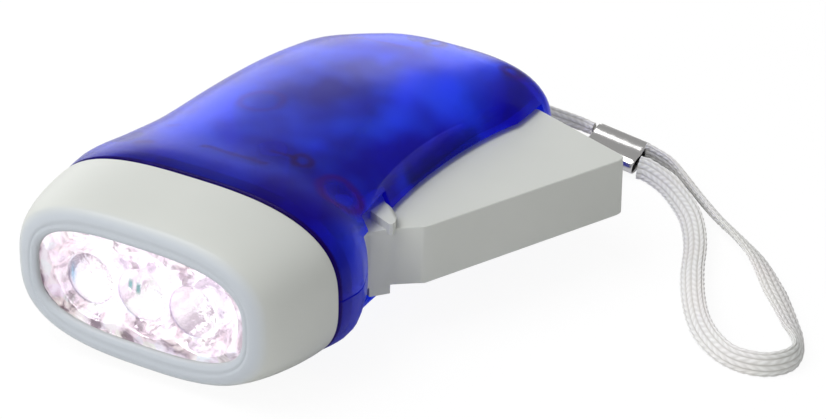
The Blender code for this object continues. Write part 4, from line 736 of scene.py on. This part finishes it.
def shell_half(name, level):
    """One half: what the hollow leaves of the body with its bosses, less what the moving pieces need."""
    near, far = PART_Z + level * 0.15, 60.0
    bosses = [(place, 2.5, near) for place in SCREWS]
    bosses += [(PIVOT, 3.1, 20.1 if level > 0 else 9.2), (ANCHOR, 2.1, PART_Z + level * 3.0)]
    if level < 0:
        bosses += [(place, 2.1, near) for place in COVER_POSTS]
        bosses += [(place, 1.2, 11.3) for place in BOARD_POSTS] + [(place, 1.9, 3.3) for place in GEAR_AXES]
    hollow = shell_body("hollow", WALL)
    columns = [prism(f"boss_{k}", round_outline(place, radius), *sorted((start, level * far)))
               for k, (place, radius, start) in enumerate(bosses)]
    carve(hollow, "DIFFERENCE", columns)
    slot = round_outline(PIVOT, SLOT_HUB, 170.0, 290.0, 24) + [(24.7, -18.4), (53.3, -18.4)]
    slot += round_outline(PIVOT, SLOT_REACH, 20.0, 109.5, 40)
    ribs = round_outline(PIVOT, RIB_ROOM_REACH, RIB_ROOM_FROM, RIB_ROOM_TO, 30)
    ribs += round_outline(PIVOT, 3.5, RIB_ROOM_TO, RIB_ROOM_FROM, 18)
    t, v = np.meshgrid(np.linspace(0.0, math.pi, 44)[1:-1], np.arange(64) / 64 * 2 * math.pi, indexing="ij")
    scoop = np.stack([SCOOP_X + SCOOP_RADIUS * np.sin(t) * np.cos(v), SCOOP_Y - SCOOP_REACH * np.cos(t),
                      PART_Z + level * SCOOP_RISE + SCOOP_RADIUS * np.sin(t) * np.sin(v)], axis=-1)
    low, high = sorted((near, -level * far))
    cuts = [hollow, block("other_half", (-far, -far, low), (far, far, high)),
            grid_mesh("scoop", scoop * MM, caps=True), prism("slot", slot, SLOT_LOW, SLOT_HIGH),
            prism("rib_room", ribs, RIB_ROOM_LOW, RIB_ROOM_HIGH),
            prism("pin_way", round_outline(PIVOT, 1.65), 4.3, 23.9),
            prism("anchor_way", round_outline(ANCHOR, 1.15), 8.6, 20.6),
            block("strap_window", (5.0, 42.5, 12.45), (12.2, 47.5, 16.85)),
            block("switch_window", (-32.0, -5.4, 12.25), (-20.0, 3.4, 17.05))]
    if level > 0:
        cuts += [prism(f"pilot_{k}", round_outline(place, 1.15, count=24), 13.0, 20.85)
                 for k, place in enumerate(SCREWS)]
    else:
        ways = [(place, 1.15, 7.0, 16.0) for place in SCREWS]
        ways += [(place, 2.05, -1.0, 8.0) for place in SCREWS]
        ways += [(place, 1.15, 1.7, 5.8) for place in GEAR_AXES]
        cuts += [prism(f"way_{k}", round_outline(place, radius, count=24), start, end)
                 for k, (place, radius, start, end) in enumerate(ways)]
        cuts += [block("lock_window", (11.0, 29.2, -1.0), (15.4, 37.4, 6.0)),
                 block("belly", (-far, -far, -far), (far, far, 0.0))]
    half = shell_body(name, 0.0)
    carve(half, "DIFFERENCE", cuts)
    half.data.shade_smooth()
    half.data.set_sharp_from_angle(angle=math.radians(30))
    return half


def mark_group():
    """Node group: how near a place in plan is to a ring or a line, from 0 to 1.

    The distance is from the segment between two ends, or from one point where they are the same, and
    Mark is 1 where it equals Radius, falling to 0 at Width on either side.
    """
    group = bpy.data.node_groups.new("inner_mark", "ShaderNodeTree")
    for name, kind in (("From", "Vector"), ("To", "Vector"), ("Radius", "Float"), ("Width", "Float")):
        group.interface.new_socket(name, in_out="INPUT", socket_type="NodeSocket" + kind)
    group.interface.new_socket("Mark", in_out="OUTPUT", socket_type="NodeSocketFloat")
    enter, leave = new_node(group, "NodeGroupInput"), new_node(group, "NodeGroupOutput")
    place = new_node(group, "ShaderNodeTexCoord")
    wobble = new_node(group, "ShaderNodeTexNoise", values={"Scale": 260.0, "Detail": 2.0})
    shift = new_node(group, "ShaderNodeVectorMath", operation="MULTIPLY_ADD",
                     values={1: (0.0016, 0.0016, 0.0), 2: (-0.0008, -0.0008, 0.0)})
    moved = new_node(group, "ShaderNodeVectorMath", operation="ADD")
    flat = new_node(group, "ShaderNodeVectorMath", operation="MULTIPLY", values={1: (1.0, 1.0, 0.0)})
    run = new_node(group, "ShaderNodeVectorMath", operation="SUBTRACT")
    off = new_node(group, "ShaderNodeVectorMath", operation="SUBTRACT")
    dot = new_node(group, "ShaderNodeVectorMath", operation="DOT_PRODUCT")
    size = new_node(group, "ShaderNodeVectorMath", operation="DOT_PRODUCT")
    safe = new_node(group, "ShaderNodeMath", operation="MAXIMUM", values={1: 1e-9})
    share = new_node(group, "ShaderNodeMath", operation="DIVIDE", use_clamp=True)
    back = new_node(group, "ShaderNodeVectorMath", operation="SCALE")
    gap = new_node(group, "ShaderNodeVectorMath", operation="SUBTRACT")
    far = new_node(group, "ShaderNodeVectorMath", operation="LENGTH")
    ring = new_node(group, "ShaderNodeMath", operation="SUBTRACT")
    wide = new_node(group, "ShaderNodeMath", operation="ABSOLUTE")
    ratio = new_node(group, "ShaderNodeMath", operation="DIVIDE")
    fall = new_node(group, "ShaderNodeMapRange", interpolation_type="SMOOTHSTEP",
                    values={"From Min": 1.0, "From Max": 0.0})
    connect(group, (place.outputs["Object"], wobble.inputs["Vector"]),
            (wobble.outputs["Color"], shift.inputs[0]),
            (place.outputs["Object"], moved.inputs[0]), (shift.outputs[0], moved.inputs[1]),
            (moved.outputs[0], flat.inputs[0]), (flat.outputs[0], off.inputs[0]),
            (enter.outputs["To"], run.inputs[0]), (enter.outputs["From"], run.inputs[1]),
            (enter.outputs["From"], off.inputs[1]), (off.outputs[0], dot.inputs[0]),
            (run.outputs[0], dot.inputs[1]), (run.outputs[0], size.inputs[0]),
            (run.outputs[0], size.inputs[1]), (run.outputs[0], back.inputs[0]),
            (dot.outputs["Value"], share.inputs[0]), (size.outputs["Value"], safe.inputs[0]),
            (safe.outputs[0], share.inputs[1]),
            (share.outputs[0], back.inputs["Scale"]), (off.outputs[0], gap.inputs[0]),
            (back.outputs[0], gap.inputs[1]), (gap.outputs[0], far.inputs[0]),
            (far.outputs["Value"], ring.inputs[0]), (enter.outputs["Radius"], ring.inputs[1]),
            (ring.outputs[0], wide.inputs[0]), (wide.outputs[0], ratio.inputs[0]),
            (enter.outputs["Width"], ratio.inputs[1]), (ratio.outputs[0], fall.inputs["Value"]),
            (fall.outputs["Result"], leave.inputs["Mark"]))
    return group


inner_mark = mark_group()
blue, tree, shader = finish_of("clear_blue_polycarbonate")
# The shell gives off a weak light of its own colour: painted light for light scattered in the moulding.
put(shader, IOR=1.42, Transmission_Weight=0.80, Specular_Tint=(0.15, 0.12, 0.5, 1.0), Emission_Strength=0.11)
group = new_node(tree, "ShaderNodeGroup", node_tree=moulded_grain,
                 values={"Grain Scale": 900.0, "Patch Scale": 62.0})
cloud = new_node(tree, "ShaderNodeMapRange", values={"From Min": 0.38, "From Max": 0.62})
dull = new_node(tree, "ShaderNodeMapRange", values={"To Min": 0.18, "To Max": 0.26})
waves = new_node(tree, "ShaderNodeBump", values={"Strength": 0.03, "Distance": 0.0001})
place = new_node(tree, "ShaderNodeTexCoord")
parts = new_node(tree, "ShaderNodeSeparateXYZ")
front = new_node(tree, "ShaderNodeMapRange",
                 values={"From Min": -0.014, "From Max": -0.027, "To Min": 0.0, "To Max": 0.75})
edge = new_node(tree, "ShaderNodeMapRange",
                values={"From Min": -0.0282, "From Max": -0.0286, "To Min": 0.0, "To Max": 0.9})
connect(tree, (group.outputs["Patches"], cloud.inputs["Value"]),
        (group.outputs["Patches"], dull.inputs["Value"]), (group.outputs["Grain"], waves.inputs["Height"]),
        (dull.outputs["Result"], shader.inputs["Roughness"]),
        (waves.outputs["Normal"], shader.inputs["Normal"]), (place.outputs["Object"], parts.inputs[0]),
        (parts.outputs["Y"], front.inputs["Value"]), (parts.outputs["Y"], edge.inputs["Value"]))
colour = mixed(tree, cloud.outputs["Result"], (0.009, 0.004, 0.42), (0.020, 0.090, 1.0))
# Painted shade: the blue darkens towards the head, between 14 mm and 27 mm before the middle.
colour = mixed(tree, front.outputs["Result"], colour, (0.016, 0.002, 0.27))
purple, brown = (0.075, 0.0, 0.25), (0.045, 0.0, 0.10)
# Each mark has two ends, a radius and a width in mm, a tint and a strength. A radius of zero is a line.
for start, end, radius, width, tint, depth in (
        ((17.5, 20.0), (12.5, 34.0), 0.0, 9.0, (0.035, 0.12, 1.0), 0.7),
        ((14.5, 2.0), (15.0, 8.0), 0.0, 5.0, (0.03, 0.12, 1.0), 0.6),
        ((19.6, -16.8), (19.6, -16.8), 3.3, 1.3, purple, 0.85),
        ((11.2, -14.6), (11.2, -14.6), 1.4, 1.2, brown, 0.75),
        ((6.0, -15.5), (10.0, -14.8), 0.0, 0.9, brown, 0.7),
        ((-4.3, -20.0), (7.6, -19.4), 0.0, 1.1, brown, 0.6),
        ((-15.0, -23.1), (-12.8, -22.6), 0.0, 1.5, brown, 0.5),
        ((-14.5, -15.6), (-13.0, -15.2), 0.0, 1.4, brown, 0.35),
        ((-5.5, -1.3), (-5.5, -1.3), 3.6, 1.2, purple, 0.4),
        ((19.6, 37.6), (19.6, 37.6), 1.5, 1.4, brown, 0.8),
        # The very dark streak in the hollow by the lever is painted shade.
        ((22.9, 1.0), (23.4, 19.0), 0.0, 2.6, (0.003, 0.004, 0.05), 0.75),
        ((4.3, 37.5), (4.3, 37.5), 1.6, 1.4, brown, 0.7),
        ((-7.4, 30.8), (3.0, 31.4), 0.0, 1.0, brown, 0.5)):
    mark = new_node(tree, "ShaderNodeGroup", node_tree=inner_mark, values={
        "From": (start[0] * MM, start[1] * MM, 0.0), "To": (end[0] * MM, end[1] * MM, 0.0),
        "Radius": radius * MM, "Width": width * MM})
    less = new_node(tree, "ShaderNodeMath", operation="MULTIPLY", values={1: depth})
    tree.links.new(mark.outputs["Mark"], less.inputs[0])
    colour = mixed(tree, less.outputs[0], colour, tint)
# Painted shade: a dark line along the seam with the bezel.
colour = mixed(tree, edge.outputs["Result"], colour, (0.02, 0.0, 0.05))
# The colour, painted shade included, is also the colour of the painted glow.
connect(tree, (colour, shader.inputs["Base Color"]), (colour, shader.inputs["Emission Color"]))
for node, level in (("upper_shell", 1), ("lower_shell", -1)):
    skin = shell_half(node + "_skin", level)
    wear(skin, blue)
    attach(skin, "housing")
    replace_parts(skin, node)


# ---- Lever ----
# The squeezed lever is moulded in the bezel's light grey: a hollow blade on a round hub that turns on a steel
# pin between the shells. The stop rib on the hub is a slice of a disc, cut off square towards the head.
def merged_copy(node, name):
    """The loose triangles of a CAD node joined into one closed mesh, with each flat face in one piece."""
    mesh = bpy.data.meshes.new(name)
    work = bmesh.new()
    work.from_mesh(cad[node].data)
    bmesh.ops.remove_doubles(work, verts=work.verts, dist=1e-6)
    bmesh.ops.dissolve_limit(work, angle_limit=math.radians(0.3), verts=work.verts, edges=work.edges)
    work.to_mesh(mesh)
    work.free()
    made = bpy.data.objects.new(name, mesh)
    bpy.context.scene.collection.objects.link(made)
    return made


LEVER_OPEN = 22.5


def in_lever(u, v):
    """Place in plan of a point given across and along the lever, which stands open."""
    turn = math.radians(LEVER_OPEN)
    return (PIVOT[0] + u * math.cos(turn) + v * math.sin(turn),
            PIVOT[1] - u * math.sin(turn) + v * math.cos(turn))


# The grip's front corner is rounded: the wedge between the corner and an arc that touches both faces goes.
lever_body = merged_copy("lever", "lever_body")
across, along, bend, run = 7.9, 11.1, math.atan2(4.0, 9.28), 1.8
radius = run / math.tan(bend / 2)
knee = [in_lever(across - radius * (1 - math.cos(a)), along + run - radius * math.sin(a))
        for a in np.linspace(0.0, bend, 9)]
knee += [in_lever(across + 1.0, along - run), in_lever(across + 1.0, along + run)]
HUB_TOP, RIB_LOW, RIB_HIGH = 19.805, 19.2, 21.2
rib_edge = ((21.0, 8.5), (27.0, 8.8), (34.0, 8.95), (41.0, 9.0), (48.6, 9.0), (56.0, 9.05), (64.0, 9.1),
            (73.0, 9.2))
rib = [(26.8, -13.4)] + [(PIVOT[0] + r * math.cos(math.radians(a)), PIVOT[1] + r * math.sin(math.radians(a)))
                         for a, r in rib_edge] + [(21.9, -11.3)]
carve(lever_body, "DIFFERENCE", [prism("knee", knee, 0.0, 40.0),
                                 block("old_rib", (19.0, -16.0, HUB_TOP), (34.0, 0.0, 24.0))])
carve(lever_body, "UNION", [prism("rib", rib, RIB_LOW, RIB_HIGH)])
lever_body.data.polygons.foreach_set("use_smooth", [face.area < 8e-6 for face in lever_body.data.polygons])
lever_body.data.set_sharp_from_angle(angle=math.radians(25))
wear(lever_body, grey_abs)
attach(lever_body, "squeeze_lever")
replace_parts(lever_body, "lever")


# ---- Return spring ----
# A coil of drawn steel wire round the lever's pin. Its top end stands in the upper shell and its foot in the
# lever, so the foot is a piece of its own that turns with the lever.
def metal(name, colour, rough, grain):
    """A drawn or stamped metal: roughness drifts with a stretched noise."""
    made, tree, shader = finish_of(name)
    put(shader, Base_Color=(*colour, 1.0), Metallic=1.0)
    place = new_node(tree, "ShaderNodeTexCoord")
    stretch = new_node(tree, "ShaderNodeMapping")
    stretch.inputs["Scale"].default_value = (1.0, 1.0, 0.15)
    lines = new_node(tree, "ShaderNodeTexNoise", values={"Scale": grain, "Detail": 3.0})
    dull = new_node(tree, "ShaderNodeMapRange", values={"To Min": rough - 0.08, "To Max": rough + 0.12})
    marks = new_node(tree, "ShaderNodeBump", values={"Strength": 0.15, "Distance": 0.00005})
    connect(tree, (place.outputs["Object"], stretch.inputs["Vector"]),
            (stretch.outputs["Vector"], lines.inputs["Vector"]),
            (lines.outputs["Fac"], dull.inputs["Value"]), (lines.outputs["Fac"], marks.inputs["Height"]),
            (dull.outputs["Result"], shader.inputs["Roughness"]),
            (marks.outputs["Normal"], shader.inputs["Normal"]))
    return made


FOOT_TOP = 15.2
drawn_steel = metal("drawn_steel", (0.58, 0.57, 0.56), 0.3, 1500.0)
for name, body, operation in (("spring_coil", "housing", "DIFFERENCE"),
                              ("spring_foot", "squeeze_lever", "INTERSECT")):
    wire = merged_copy("return_spring", name)
    carve(wire, operation, [block(name + "_end", (14.0, -22.0, 10.0), (25.0, -10.0, FOOT_TOP))])
    wear(wire, drawn_steel)
    wire.data.shade_smooth()
    wire.data.set_sharp_from_angle(angle=math.radians(50))
    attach(wire, body)
    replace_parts(wire, "return_spring")


# ---- Works inside ----
# The gear train, generator, cell and boards are seen only through the blue moulding, so they keep their CAD
# solids. So do the switch's slider and the lever's lock, which are plain blocks.
looks = {
    "steel": drawn_steel,
    "copper": metal("copper_wire", (0.75, 0.36, 0.20), 0.3, 2500.0),
    "gear_white": plastic("natural_acetal", (0.74, 0.73, 0.68), (0.82, 0.81, 0.77), (0.38, 0.5), 0.15),
    "black_plastic": plastic("black_plastic", (0.016, 0.016, 0.018), (0.03, 0.03, 0.032), (0.4, 0.55), 0.3),
    "magnet_grey": plastic("sintered_ferrite", (0.05, 0.05, 0.055), (0.10, 0.10, 0.11), (0.5, 0.7), 0.6,
                           900.0),
    "board_green": plastic("solder_mask", (0.02, 0.16, 0.06), (0.03, 0.22, 0.09), (0.3, 0.42), 0.2),
    "cell_sleeve": plastic("shrink_sleeve", (0.06, 0.26, 0.10), (0.09, 0.33, 0.14), (0.22, 0.3), 0.1),
    "bezel_grey": grey_abs,
}
replaced = {name for thing in bpy.data.objects for name in thing.get("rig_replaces", [])}
for part in frame["record"]["subparts"]:
    if part["node"] not in replaced and part["material_slot"] in looks:
        wear(cad[part["node"]], looks[part["material_slot"]])

bpy.context.scene.view_settings.view_transform = "Standard"
